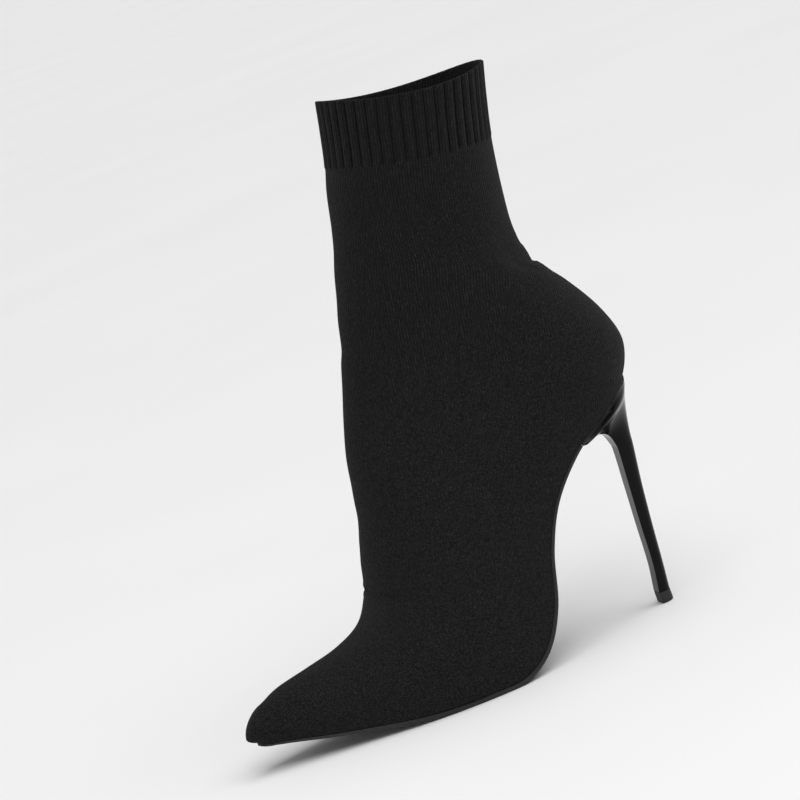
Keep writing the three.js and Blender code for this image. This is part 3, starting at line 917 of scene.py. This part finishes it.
@dataclass
class KnitUpper:
    """The sock: knitted wall from the toe to the ribbed cuff, with its inside."""

    last: Last
    finish: KnitFinish = field(default_factory=KnitFinish)
    wall: float = 1.6
    rib_depth: float = 1.3
    rib_sink: float = 0.98
    rib_rise: float = 0.08
    ribs_each_side: int = 22
    faces_per_rib: int = 8
    inner_ratio: int = 4
    row_step: float = 0.125
    cuff_step: float = 0.1
    rim_points: int = 6
    closed_nose_rings: int = 9
    leg_axis_point: tuple[float, float] = (41.8, 244.4)
    leg_axis: tuple[float, float] = (-0.157, 0.988)
    foot_axis: tuple[float, float] = (-0.78, 0.62)
    side_wales: int = 88
    leg_pitch: float = 1.375
    foot_pitch: float = 0.95
    knit_merge_rows: tuple[float, float] = (17.5, 19.8)
    calm_heel: tuple[float, float, float] = (112.0, 190.0, 0.45)
    vamp_point: tuple[float, float] = (129.4, 58.3)
    vamp_rise: float = 0.408
    sway: float = 0.0012
    crease_points: int = 70
    ridge_distance: float = 2.2

    @property
    def half_steps(self) -> int:
        """Faces from the feather line to the crown."""
        return self.ribs_each_side * self.faces_per_rib

    def _nose_angles(self) -> np.ndarray:
        """Angles of the nose's rings from the tip to the first section.

        Returns:
            Angles in radians.
        """
        close = self.last.nose_close
        closed = np.linspace(math.radians(85.0), close, self.closed_nose_rings)
        opening = np.cos(np.linspace(0.0, math.pi / 2, 9)[1:-1])
        return np.concatenate([closed, np.arcsin(opening * math.sin(close))])

    def _open_rows(self) -> np.ndarray:
        """Rows where the ring is open underneath.

        Returns:
            Rows up to the seat's back corner.
        """
        seat = self.last.seat_row
        straight = np.arange(0.0, seat - 0.7, self.row_step)
        round_back = seat - np.array([0.6, 0.5, 0.4, 0.3, 0.21, 0.13, 0.07, 0.025])
        return np.concatenate([straight, round_back])

    def _closed_rows(self) -> np.ndarray:
        """Rows where the ring is closed, from the seat's back corner to the collar.

        Returns:
            Rows, the last one under the rim.
        """
        last = self.last
        leg = np.arange(last.seat_row, last.cuff_row - 0.01, self.row_step)
        rise = last.cuff_row + np.array([0.0, 0.3, 0.55, 0.8, 1.0]) * self.rib_rise
        rim_height = self.wall / 2
        collar = last.last_row - rim_height * self._rows_per_mm_at_collar()
        cuff = np.linspace(rise[-1] + self.cuff_step, collar, 17)
        return np.concatenate([leg, rise, cuff])

    def _rows_per_mm_at_collar(self) -> float:
        """Rows passed for each millimetre up the cuff."""
        return self.last.rows_per_mm(self.last.last_row - 1.001)

    def _rib_profile(self, shares: np.ndarray) -> np.ndarray:
        """Height of the ribs around one side, with a narrow groove between broad crests.

        Args:
            shares: Places along the side.

        Returns:
            Millimetres out of the last's surface.
        """
        place = (shares * self.ribs_each_side) % 1.0
        crest = np.clip(np.sin(math.pi * place), 0.0, 1.0) ** 0.55
        return self.rib_depth * crest - self.rib_sink

    def _sway(self, t: float, shares: np.ndarray) -> np.ndarray:
        """Shares shifted a little, so that the ribs of the cuff aren't ruled lines.

        Args:
            t: Row.
            shares: Places along a side.

        Returns:
            The shifted places.
        """
        up = max(t - self.last.cuff_row, 0.0)
        slow = np.sin(2 * math.pi * (2.6 * shares + 0.45 * up))
        quick = np.sin(2 * math.pi * (7.3 * shares - 0.6 * up))
        wave = slow + 0.5 * quick
        return shares + self.sway * min(up, 1.0) * wave * np.sin(math.pi * shares) ** 2

    def _sheet(self, shares: np.ndarray, inset: float, nose_length: float, ribbed: bool) -> np.ndarray:
        """One sheet of the wall as a grid of points: the nose's tip, its rings, and the rows.

        Args:
            shares: Places along each side, from 0 to 1.
            inset: How far inside the last's surface.
            nose_length: Length of the nose.
            ribbed: Whether the cuff has its ribs.

        Returns:
            Points in millimetres by ring and place around.
        """
        last = self.last
        flat = np.full(len(shares), -inset)
        tip = last.nose_root + np.array([nose_length, 0.0, 0.0])
        rings = [np.repeat(tip[None], 2 * len(shares) - 1, axis=0)]
        for angle in self._nose_angles():
            rings.append(last.nose_ring(angle, shares, flat, nose_length))
        for t in np.concatenate([self._open_rows(), self._closed_rows()]):
            swell = float(smooth_step(last.cuff_row, last.cuff_row + self.rib_rise, t)) if ribbed else 0.0
            places = self._sway(t, shares) if ribbed else shares
            away = flat + swell * self._rib_profile(shares)
            rings.append(last.ring(t, places, away))
        return np.array(rings)

    def _numbers(self, skin: Skin, grid: np.ndarray) -> np.ndarray:
        """Adds a sheet's points, with one tip and with closed rings joined.

        Args:
            skin: The mesh that is gathered.
            grid: The sheet's points.

        Returns:
            Their numbers, in the grid's order.
        """
        rows, columns, _ = grid.shape
        ids = np.zeros((rows, columns), int)
        ids[0] = skin.add(grid[0, :1])[0]
        for r in range(1, rows):
            if self.closed_nose_rings < r < self._closed_start():
                ids[r] = skin.add(grid[r])
            else:
                ids[r, :-1] = skin.add(grid[r, :-1])
                ids[r, -1] = ids[r, 0]
        return ids

    def _normals(self, grid: np.ndarray) -> np.ndarray:
        """Outward directions over a sheet's grid.

        Args:
            grid: The sheet's points.

        Returns:
            Directions of length 1.
        """
        along = np.gradient(grid, axis=0)
        around = np.gradient(grid, axis=1)
        normals = np.cross(along, around)
        size = np.linalg.norm(normals, axis=2, keepdims=True)
        return normals / np.maximum(size, 1e-9)

    def _row_index(self, t: float) -> float:
        """Place of row t among the grid's rings."""
        rows = np.concatenate([self._open_rows(), self._closed_rows()])
        return float(np.interp(t, rows, np.arange(len(rows)))) + 1 + len(self._nose_angles())

    def _press(self, grid: np.ndarray) -> np.ndarray:
        """Presses the creases into the outer sheet.

        Args:
            grid: Points of the sheet.

        Returns:
            The moved points.
        """
        normals = self._normals(grid)
        depth = np.zeros(grid.shape[:2])
        columns = grid.shape[1] - 1
        for crease in (crease.on(side) for crease in CREASES for side in Side):
            places = np.array(crease.places)
            fine = np.linspace(0, len(places) - 1, self.crease_points)
            rows = [curve_through(places, t) for t in fine]
            line = []
            for row, share in rows:
                r = self._row_index(row)
                c = float(np.clip(share, 0.0, 1.0)) * columns
                line.append(grid[int(round(r)), int(round(c))])
            gaps = grid[:, :, None, :] - np.array(line)[None, None]
            distance = np.sqrt((gaps ** 2).sum(axis=3))
            nearest = distance.argmin(axis=2)
            distance = distance.min(axis=2)
            along = nearest / (len(fine) - 1)
            ends_at_back = crease.places[0][1] in (0.0, 1.0)
            fade = np.sin(math.pi * (0.5 + 0.5 * along if ends_at_back else along))
            fade = np.clip(fade, 0.0, 1.0) ** 0.7
            trough = np.exp(-((distance / crease.width) ** 2))
            ridge = np.exp(-(((distance - self.ridge_distance * crease.width) / crease.width) ** 2))
            depth += fade * crease.depth * (crease.ridge * ridge - trough)
        return grid + normals * depth[..., None]

    def _rim(
        self, skin: Skin, outer: np.ndarray, lining: np.ndarray, ids: np.ndarray, inner_ids: np.ndarray
    ) -> None:
        """Rounds the collar's edge from the outer sheet over to the lining.

        Args:
            skin: The mesh that is gathered.
            outer: Points of the outer sheet.
            lining: Points of the inner sheet.
            ids: Numbers of the outer sheet's points.
            inner_ids: Numbers of the inner sheet's points.
        """
        columns = outer.shape[1]
        coarse = np.linspace(0, columns - 1, lining.shape[1])
        around = np.arange(columns)
        fine = np.column_stack([np.interp(around, coarse, axis) for axis in lining[-1].T])
        tilt = self.last.section(self.last.last_row)["tilt"]
        up = np.array([-math.cos(tilt), 0.0, math.sin(tilt)])
        rings = [ids[-1]]
        for k in range(1, self.rim_points):
            angle = math.pi * k / self.rim_points
            share = (1 + math.cos(angle)) / 2
            points = fine + share * (outer[-1] - fine) + up * math.sin(angle) * self.wall / 2
            numbers = skin.add(points[:-1])
            rings.append(np.append(numbers, numbers[0]))
        for low, high in zip(rings, rings[1:]):
            skin.strip(low, high)
        skin.stitch(inner_ids[-1], rings[-1])

    def _foot_wales(self, grid: np.ndarray) -> tuple[np.ndarray, np.ndarray]:
        """Place of each face's left and right edge among the foot's columns, counted from the crown.

        Args:
            grid: Points of the outer sheet.

        Returns:
            Places at the left and at the right edges.
        """
        steps = np.linalg.norm(np.diff(grid, axis=1), axis=2)
        run = np.hstack([np.zeros((len(grid), 1)), np.cumsum(steps, axis=1)])
        middle = grid.shape[1] // 2
        place = (run - run[:, middle:middle + 1]) / self.foot_pitch
        return place[:, :-1], place[:, 1:]

    def _leg_wales(self, grid: np.ndarray) -> tuple[np.ndarray, np.ndarray]:
        """Place of each face's left and right edge among the leg's columns.

        Around the heel and the ankle they are counted at an even pitch from the leg's side, and up
        to the cuff they pass into four for each rib.

        Args:
            grid: Points of the outer sheet.

        Returns:
            Places at the left and at the right edges.
        """
        middle = grid.shape[1] // 2
        axis = np.array(self.leg_axis)
        offset = grid[:, :, (0, 2)] - np.array(self.leg_axis_point)
        ahead = offset[..., 0] * axis[1] - offset[..., 1] * axis[0]
        shares = np.linspace(0.0, 1.0, middle + 1)
        rows = np.arange(len(grid))
        start, end = (self._row_index(row) for row in self.knit_merge_rows)
        gone = smooth_step(start, end, rows)[:, None]
        lefts, rights = [], []
        for side in Side:
            half = slice(None, middle + 1) if side is Side.OUTER else slice(None, middle - 1, -1)
            front = np.maximum.accumulate(ahead[:, half], axis=1)
            across = grid[:, half, 1]
            steps = np.hypot(np.diff(front, axis=1), np.diff(across, axis=1))
            run = np.hstack([np.zeros((len(grid), 1)), np.cumsum(steps, axis=1)])
            start = [np.interp(0.0, front[r], run[r]) - max(front[r, 0], 0.0) for r in rows]
            even = self.side_wales / 2 + (run - np.array(start)[:, None]) / self.leg_pitch
            place = even + gone * (shares * self.side_wales - even)
            if side is Side.OUTER:
                lefts.append(place[:, :-1])
                rights.append(place[:, 1:])
            else:
                mirrored = 2 * self.side_wales - place[:, ::-1]
                lefts.append(mirrored[:, :-1])
                rights.append(mirrored[:, 1:])
        return np.hstack(lefts), np.hstack(rights)

    def _closed_start(self) -> int:
        """Number of the first closed ring."""
        return 1 + len(self._nose_angles()) + len(self._open_rows())

    def _leg_share(self, grid: np.ndarray) -> np.ndarray:
        """How far each point belongs to the leg's knit: above the line across the vamp.

        Args:
            grid: Points of the outer sheet.

        Returns:
            Shares from 0 to 1.
        """
        x, y, z = grid[..., 0], grid[..., 1], grid[..., 2]
        above = z - self.vamp_point[1] - self.vamp_rise * (x - self.vamp_point[0])
        softness = 0.6 + 0.35 * np.clip(np.abs(y) - 22.0, 0.0, 20.0)
        low, high, least = self.calm_heel
        calm = least + (1 - least) * smooth_step(low, high, z)
        return calm * smooth_step(-1.0, 1.0, above / softness)

    def build(self) -> bpy.types.Object:
        """Makes the upper and puts it in the place of its node.

        Returns:
            The upper.
        """
        shares = np.linspace(0.0, 1.0, self.half_steps + 1)
        coarse = np.linspace(0.0, 1.0, self.half_steps // self.inner_ratio + 1)
        nose = self.last.toe_round
        plain = self._sheet(shares, 0.0, nose, True)
        outer = self._press(plain)
        outer[0] = plain[0]
        for closed in (slice(0, self.closed_nose_rings + 1), slice(self._closed_start(), None)):
            outer[closed, -1] = outer[closed, 0]
        lining = self._sheet(coarse, self.wall, nose - self.wall, False)
        skin = Skin()
        ids = self._numbers(skin, outer)
        inner_ids = self._numbers(skin, lining)
        for r in range(len(ids) - 1):
            skin.strip(ids[r], ids[r + 1])
        for r in range(len(ids) - 1):
            skin.strip(inner_ids[r + 1], inner_ids[r])
        edge = slice(self.closed_nose_rings, self._closed_start() + 1)
        skin.strip(ids[edge, 0], inner_ids[edge, 0])
        skin.strip(inner_ids[edge, -1], ids[edge, -1])
        self._rim(skin, outer, lining, ids, inner_ids)
        mesh = skin.mesh("knit_upper")
        self._lay_knit(mesh, outer, ids, inner_ids)
        self._colour_shares(mesh, outer, ids)
        return finish_piece(mesh, self.finish.material(), "upper", crisp=62.0)

    def _lay_knit(
        self, mesh: bpy.types.Mesh, outer: np.ndarray, ids: np.ndarray, inner_ids: np.ndarray
    ) -> None:
        """Gives the mesh two maps of the knit: the place among its columns, and the length along them.

        Args:
            mesh: The upper's mesh, its first faces those of the outer sheet in the order of the grid.
            outer: Points of the outer sheet.
            ids: Their numbers.
            inner_ids: Numbers of the inner sheet's points.
        """
        loops = np.zeros(len(mesh.loops), int)
        mesh.loops.foreach_get("vertex_index", loops)
        places = np.zeros(3 * len(mesh.vertices))
        mesh.vertices.foreach_get("co", places)
        places = places.reshape(-1, 3) / MM
        around = np.zeros(len(places))
        for sheet in (ids, inner_ids):
            around[sheet[:, -1]] = 1.0
            around[sheet[:, :-1]] = np.linspace(0.0, 1.0, sheet.shape[1])[:-1]
        rim = np.arange(max(ids.max(), inner_ids.max()) + 1, len(places))
        around[rim] = np.resize(np.linspace(0.0, 1.0, ids.shape[1])[:-1], len(rim))
        starts = np.zeros(len(mesh.polygons), int)
        mesh.polygons.foreach_get("loop_start", starts)
        corner = around[loops]
        spread = np.maximum.reduceat(corner, starts) - np.minimum.reduceat(corner, starts)
        wraps = np.repeat(spread > 0.5, np.diff(np.append(starts, len(loops)))) & (corner < 0.5)
        corner = (corner + wraps) * 2 * self.side_wales
        maps = (
            ("foot_wales", self._foot_wales(outer), self.foot_axis),
            ("leg_wales", self._leg_wales(outer), self.leg_axis),
        )
        for name, (left, right), axis in maps:
            tip = np.stack([left[1], right[1], right[0]], axis=1)
            body = np.stack([left[1:-1], left[2:], right[2:], right[1:-1]], axis=2)
            columns = corner.copy()
            columns[:tip.size + body.size] = np.concatenate([tip.ravel(), body.ravel()])
            along = places[loops][:, (0, 2)] @ np.array(axis)
            layer = mesh.uv_layers.new(name=name)
            pairs = np.column_stack([columns, along]).astype(np.float32)
            layer.data.foreach_set("uv", pairs.ravel())

    def _colour_shares(self, mesh: bpy.types.Mesh, outer: np.ndarray, ids: np.ndarray) -> None:
        """Gives the mesh the share of the leg's knit at each point, and the depth in a rib's groove, which
        the knit's material turns into painted shade.

        Args:
            mesh: The upper's mesh.
            outer: Points of the outer sheet.
            ids: Their numbers.
        """
        count = len(mesh.vertices)
        knit = np.ones(count)
        knit[ids] = self._leg_share(outer)
        profile = self._rib_profile(np.linspace(0.0, 1.0, self.half_steps + 1))
        depth = 1 - (profile + self.rib_sink) / self.rib_depth
        around = np.concatenate([depth, depth[-2::-1]])
        start = self._row_index(self.last.cuff_row)
        end = self._row_index(self.last.cuff_row + self.rib_rise)
        cuff = smooth_step(start, end, np.arange(len(ids)))
        groove_shade = np.zeros(count)
        groove_shade[ids] = cuff[:, None] * around[None]
        for name, values in (("leg_knit", knit), ("rib_groove_shade", groove_shade)):
            layer = mesh.attributes.new(name, "FLOAT", "POINT")
            layer.data.foreach_set("value", values.astype(np.float32))


@dataclass
class LastedPlate:
    """A thin plate along the feather line: the outsole or the insole."""

    last: Last
    name: str
    node: str
    slot: str
    finish: LeatherFinish
    end_row: float
    inset: float
    top: float
    bottom_at_toe: float
    bottom_at_ball: float
    bottom_at_end: float
    rounding: float
    toe_rows: float = 4.0
    nose_rings: int = 14
    end_rings: int = 8
    corner_points: int = 4
    row_step: float = 0.1
    least_half: float = 0.3
    bevel: float = 0.08

    def _depth(self, t: float) -> float:
        """Distance of the lower face from the feather line.

        Args:
            t: Row.

        Returns:
            Millimetres, negative below the line.
        """
        if t < self.toe_rows:
            return self.bottom_at_toe + (self.bottom_at_ball - self.bottom_at_toe) * t / self.toe_rows
        floor = self.last.sole_top
        rise = self.last.section(t)["z"] - floor
        whole = self.last.section(self.end_row)["z"] - floor
        share = min(max(rise / whole, 0.0), 1.0)
        return self.bottom_at_ball + (self.bottom_at_end - self.bottom_at_ball) * share

    def _stations(self) -> list[tuple[float, np.ndarray, float, float]]:
        """Row, move ahead and up, and outer and inner half width, from the nose to the end.

        Returns:
            One entry for each ring of the plate.
        """
        last = self.last
        length = last.toe_round * math.sin(last.nose_close) - self.inset
        toe = {side: last.feather_half(0.0, side, self.inset) for side in Side}
        stations = []
        for angle in np.radians(np.linspace(85.0, 6.0, self.nose_rings)):
            scale = last.nose_scale(angle)
            ahead = length * math.sin(angle)
            move = np.array([ahead, 0.0, last.nose_rise(ahead)])
            stations.append((0.0, move, toe[Side.OUTER] * scale, toe[Side.INNER] * scale))
        even = np.arange(0.0, self.end_row - 0.55, self.row_step)
        near_end = self.end_row - np.geomspace(0.5, 0.01, self.end_rings)
        for t in np.concatenate([even, near_end, [self.end_row]]):
            halves = [last.feather_half(t, side, self.inset) for side in Side]
            stations.append((t, np.zeros(3), *halves))
        return stations

    def _cross_section(self, high: np.ndarray, low: np.ndarray, outer: float, inner: float) -> np.ndarray:
        """A ring around the plate, with its lower edges rounded.

        Args:
            high: Middle of the upper face.
            low: Middle of the lower face.
            outer: Half width on the outer side.
            inner: Half width on the inner side.

        Returns:
            Points in millimetres.
        """
        points = [(0.0, 0.0)]
        thickness = float(np.linalg.norm(high - low))
        for half, sign in ((inner, -1), (outer, 1)):
            radius = min(self.rounding, half * 0.5, thickness * 0.45)
            corner = []
            for k in range(self.corner_points + 1):
                angle = math.pi / 2 * k / self.corner_points
                across = half - radius + radius * math.sin(angle)
                up = radius * (1 - math.cos(angle)) / thickness
                corner.append((sign * across, up))
            edge = [(sign * half, 1 - self.bevel), (sign * (half - self.bevel * thickness), 1.0)]
            side = corner + edge
            points += side + [(0.0, 1.0)] if sign < 0 else side[::-1]
        return np.array([low + (high - low) * up + np.array([0.0, across, 0.0]) for across, up in points])

    def build(self) -> bpy.types.Object:
        """Makes the plate and puts it in the place of its node.

        Returns:
            The plate.
        """
        rings = []
        for t, move, outer, inner in self._stations():
            high = self.last.feather_point(t, self.top) + move
            low = self.last.feather_point(t, self._depth(t)) + move
            low[2] = max(low[2], 0.0)
            halves = [max(half, self.least_half) for half in (outer, inner)]
            rings.append(self._cross_section(high, low, *halves))
        mesh = loft(self.name, rings)
        return finish_piece(mesh, self.finish.material(), self.node)


# Rings of the heel's stem, as shares of the heel's height and of the stem's width
STEM_COLUMNS = ("height", "front", "back", "half")
STEM_ROWS = (
    (0.18, 0.012, -0.043, 0.5),
    (0.35, 0.003, -0.058, 0.5),
    (0.53, -0.008, -0.077, 0.52),
    (0.69, -0.018, -0.099, 0.56),
)
# Rings of the heel's wings: how far each has gone from the stem's last ring to the seat
WING_COLUMNS = ("front_x", "front_z", "back_x", "back_z", "width")
WING_ROWS = (
    (0.02, 0.33, 0.09, 0.18, 0.03),
    (0.1, 0.68, 0.25, 0.38, 0.11),
    (0.25, 0.9, 0.45, 0.58, 0.27),
    (0.5, 1.0, 0.66, 0.76, 0.51),
    (0.8, 0.93, 0.85, 0.9, 0.79),
)


@dataclass
class StilettoHeel:
    """The lacquered heel, from the stem to the seat that wings out under the last, and its tip."""

    last: Last
    finish: LacquerFinish = field(default_factory=LacquerFinish)
    stem_width: float = 8.8
    tip_height: float = 5.6
    tip_bevel: float = 0.7
    tip_half_depth: float = 3.3
    seat_inset: float = 1.5
    breast_reach: float = 36.0
    shank_sole: float = 1.6
    side_steps: int = 40
    ring_steps: int = 7
    bevel_steps: int = 4
    back_roundness: float = 1.15
    breast_taper: float = 0.1
    rim_inset_share: float = 0.3

    @property
    def breast_row(self) -> float:
        """The row at which the breast crosses the feather line."""
        corner = self.last.section(self.last.seat_row)["x"]
        return self.last.row_at(corner + self.breast_reach)

    def _profile(self) -> np.ndarray:
        """One side of a ring as shares (depth, half width), from its back to its breast.

        Returns:
            One row for each point.
        """
        widest = 0.7
        angles = np.linspace(0.0, math.pi / 2, self.side_steps + 1)
        depth = (1 - np.cos(angles)) ** self.back_roundness
        rest = np.clip(1 - depth / widest, 0.0, None)
        ahead = np.clip(depth - widest, 0.0, None) / (1 - widest)
        width = np.sqrt(1 - rest ** 2) * (1 - self.breast_taper * ahead ** 2)
        return np.column_stack([depth, width])

    @staticmethod
    def _closed(outer: np.ndarray, inner: np.ndarray) -> np.ndarray:
        """A closed ring with the back's middle first, over the inner side to the outer one."""
        return np.vstack([outer[:1], inner[1:], outer[:0:-1]])

    def _flat_ring(self, front: np.ndarray, back: np.ndarray, half: float) -> np.ndarray:
        """A flat ring of the stem, the wings or the tip.

        Args:
            front: Place (x, z) of its breast.
            back: Place (x, z) of its back.
            half: Half its width.

        Returns:
            Points in millimetres.
        """
        sides = []
        for side in Side:
            depth, width = self._profile().T
            x = back[0] + (front[0] - back[0]) * depth
            z = back[1] + (front[1] - back[1]) * depth
            sides.append(np.column_stack([x, side.sign * half * width, z]))
        return self._closed(*sides)

    def _seat_ring(self, away: float, inset: float) -> np.ndarray:
        """A ring of the seat, which follows the feather line below the upper and the insole.

        Args:
            away: Distance from the feather line, negative below it.
            inset: How far inside the line.

        Returns:
            Points in millimetres.
        """
        last = self.last
        end = last.seat_row - inset * last.rows_per_mm(last.seat_row - 1)
        sides = []
        for side in Side:
            points = []
            for depth, _ in self._profile():
                t = end + (self.breast_row - end) * depth
                x, shift, z = last.feather_point(t, away)
                points.append((x, shift + side.sign * last.feather_half(t, side, inset), z))
            sides.append(np.array(points))
        return self._closed(*sides)

    def _rings(self) -> list[np.ndarray]:
        """The heel's rings from above the tip to the seat.

        Returns:
            Rings in millimetres.
        """
        height = self.last.heel_height
        base = self.tip_height + self.last.gap
        front = [np.array([self.tip_half_depth, base])]
        back = [np.array([-self.tip_half_depth, base])]
        half = [self.stem_width / 2]
        for row in STEM_ROWS:
            named = dict(zip(STEM_COLUMNS, row))
            front.append(np.array([named["front"], named["height"]]) * height)
            back.append(np.array([named["back"], named["height"]]) * height)
            half.append(named["half"] * self.stem_width)
        top = len(STEM_ROWS)
        under_seat = -self.last.gap - self.shank_sole
        seat_end = self.last.seat_row - self.seat_inset * self.last.rows_per_mm(self.last.seat_row - 1)
        breast = self.last.feather_point(self.breast_row, under_seat)[[0, 2]]
        rear = self.last.feather_point(seat_end, under_seat)[[0, 2]]
        seat_half = self.last.feather_half(self.breast_row, Side.OUTER)
        for row in WING_ROWS:
            named = dict(zip(WING_COLUMNS, row))
            gone_front = np.array([named["front_x"], named["front_z"]])
            gone_back = np.array([named["back_x"], named["back_z"]])
            front.append(front[top] + (breast - front[top]) * gone_front)
            back.append(back[top] + (rear - back[top]) * gone_back)
            half.append(half[top] + (seat_half - half[top]) * named["width"])
        rings = [self._flat_ring(*ring) for ring in zip(front, back, half)]
        rings.append(self._seat_ring(under_seat, self.seat_inset))
        return rings

    def build(self) -> bpy.types.Object:
        """Makes the heel and puts it in the place of its node.

        Returns:
            The heel.
        """
        key_rings = np.array(self._rings())
        fine = np.linspace(0, len(key_rings) - 1, (len(key_rings) - 1) * self.ring_steps + 1)
        rings = [curve_through(key_rings, t) for t in fine]
        rings.append(self._seat_ring(-self.last.gap, self.rim_inset_share * self.seat_inset))
        mesh = loft("lacquered_heel", rings)
        return finish_piece(mesh, self.finish.material(), "heel", crisp=32.0)

    def build_tip(self) -> bpy.types.Object:
        """Makes the top piece under the stem and puts it in the place of its node.

        Returns:
            The top piece.
        """
        levels = []
        for k in range(self.bevel_steps + 1):
            angle = math.pi / 2 * k / self.bevel_steps
            inset = self.tip_bevel * (1 - math.sin(angle))
            levels.append((self.tip_bevel * (1 - math.cos(angle)), inset))
        levels.append((self.tip_height, 0.0))
        rings = []
        for z, inset in levels:
            depth = self.tip_half_depth - inset
            front = np.array([depth, z])
            back = np.array([-depth, z])
            rings.append(self._flat_ring(front, back, self.stem_width / 2 - inset))
        mesh = loft("rubber_top_piece", rings)
        return finish_piece(mesh, TIP_RUBBER.material(), "heel_tip")


@dataclass
class Studio:
    """A pale floor, soft light, and the camera at the photograph's angle."""

    azimuth: float = 12.95
    elevation: float = 9.89
    roll: float = 20.78
    distance: float = 1.68
    looked_at: tuple[float, float, float] = (0.070, 0.0, 0.120)
    centre: tuple[float, float, float] = (0.087, 0.0, 0.139)
    focal_pixels: float = 3600.0
    frame_pixels: float = 800.0
    sensor: float = 36.0
    floor_reach: float = 60.0
    pale: float = 0.93
    dim: float = 0.3

    def _towards_camera(self) -> Vector:
        """Direction from the boot to where the photograph was taken.

        Returns:
            A vector of length 1.
        """
        az = math.radians(self.azimuth)
        el = math.radians(self.elevation)
        return Vector((math.sin(az) * math.cos(el), math.cos(az) * math.cos(el), math.sin(el)))

    def camera(self) -> None:
        """Places the camera where the photograph was taken, and turns it to the boot's middle."""
        place = Vector(self.looked_at) + self.distance * self._towards_camera()
        away = (place - Vector(self.centre)).normalized()
        side = Vector((0.0, 0.0, 1.0)).cross(away).normalized()
        up = away.cross(side)
        roll = math.radians(self.roll)
        x_axis = side * math.cos(roll) - up * math.sin(roll)
        y_axis = side * math.sin(roll) + up * math.cos(roll)
        data = bpy.data.cameras.new("camera")
        data.sensor_width = self.sensor
        data.lens = self.focal_pixels / self.frame_pixels * self.sensor
        data.clip_end = 100.0
        camera = bpy.data.objects.new("camera", data)
        camera.matrix_world = Matrix((
            (x_axis.x, y_axis.x, away.x, place.x),
            (x_axis.y, y_axis.y, away.y, place.y),
            (x_axis.z, y_axis.z, away.z, place.z),
            (0.0, 0.0, 0.0, 1.0),
        ))
        bpy.context.scene.collection.objects.link(camera)
        bpy.context.scene.camera = camera

    def floor(self) -> None:
        """Lays the floor, which is part of the stage."""
        mesh = bpy.data.meshes.new("floor")
        reach = self.floor_reach
        corners = [(-reach, -reach, 0.0), (reach, -reach, 0.0), (reach, reach, 0.0), (-reach, reach, 0.0)]
        mesh.from_pydata(corners, [], [(0, 1, 2, 3)])
        floor = bpy.data.objects.new("floor", mesh)
        wiring = Wiring("pale_floor")
        tone = wiring.span(wiring.noise(3.0, 2.0), 0.3, 0.7)
        colour = wiring.tint(tone, (0.9, 0.9, 0.9), (0.92, 0.92, 0.92))
        mesh.materials.append(wiring.surface(Base_Color=colour, Roughness=0.55, Specular_IOR_Level=0.3))
        bpy.context.scene.collection.objects.link(floor)

    def _softbox(
        self, name: str, place: tuple[float, float, float], size: tuple[float, float], watts: float
    ) -> None:
        """Hangs a softbox that faces the boot.

        Args:
            name: Its name.
            place: Where it hangs, in metres.
            size: Width and height in metres.
            watts: Its power.
        """
        data = bpy.data.lights.new(name, "AREA")
        data.shape = "RECTANGLE"
        data.size, data.size_y = size
        data.energy = watts
        light = bpy.data.objects.new(name, data)
        spot = Vector(place)
        light.location = spot
        light.rotation_euler = (spot - Vector(self.centre)).to_track_quat("Z", "Y").to_euler()
        bpy.context.scene.collection.objects.link(light)

    def light(self) -> None:
        """Sets the softboxes and the pale surroundings."""
        self._softbox("key", place=(0.2, 1.7, 1.5), size=(0.9, 0.9), watts=6.0)
        self._softbox("strip", place=(1.35, 0.75, 0.12), size=(0.06, 0.6), watts=3.0)
        ceiling = bpy.data.lights.new("ceiling", "SUN")
        ceiling.energy = 2.35
        ceiling.angle = math.radians(70.0)
        lamp = bpy.data.objects.new("ceiling", ceiling)
        lamp.rotation_euler = Vector((-0.3, 0.35, 1.0)).to_track_quat("Z", "Y").to_euler()
        bpy.context.scene.collection.objects.link(lamp)
        self._surroundings()
        bpy.context.scene.view_settings.view_transform = "Standard"

    def _surroundings(self) -> None:
        """A white backdrop that lights the boot only dimly, so that black gloss stays black."""
        world = bpy.data.worlds.new("studio")
        bpy.context.scene.world = world
        world.use_nodes = True
        nodes = world.node_tree.nodes
        sky = nodes["Background"]
        rays = nodes.new("ShaderNodeLightPath")
        tone = nodes.new("ShaderNodeMix")
        tone.data_type = "RGBA"
        tone.inputs[6].default_value = (self.dim, self.dim, self.dim, 1.0)
        tone.inputs[7].default_value = (self.pale, self.pale, self.pale, 1.0)
        world.node_tree.links.new(rays.outputs["Is Camera Ray"], tone.inputs[0])
        world.node_tree.links.new(tone.outputs[2], sky.inputs["Color"])


def main() -> None:
    """Builds the boot piece by piece and sets the studio around it."""
    logging.basicConfig(level=logging.INFO, format="%(name)s: %(message)s")
    last = Last()
    heel = StilettoHeel(last)
    under_insole = 1.1 * last.gap * last.rows_per_mm(heel.breast_row - 1)
    KnitUpper(last).build()
    LastedPlate(
        last, "lasted_outsole", "outsole", "sole", SOLE_LEATHER,
        end_row=heel.breast_row - under_insole, inset=0.6, top=-last.gap, bottom_at_toe=-last.gap - 1.1,
        bottom_at_ball=-last.gap - last.outsole, bottom_at_end=-last.gap - heel.shank_sole, rounding=0.9,
    ).build()
    LastedPlate(
        last, "lined_insole", "insole", "lining", SOCK_LINING,
        end_row=last.seat_row - 0.12, inset=2.2, top=1.8,
        bottom_at_toe=0.0, bottom_at_ball=0.0, bottom_at_end=0.0, rounding=0.3,
    ).build()
    heel.build()
    heel.build_tip()
    studio = Studio()
    studio.floor()
    studio.light()
    studio.camera()


if __name__ == "__main__":
    main()
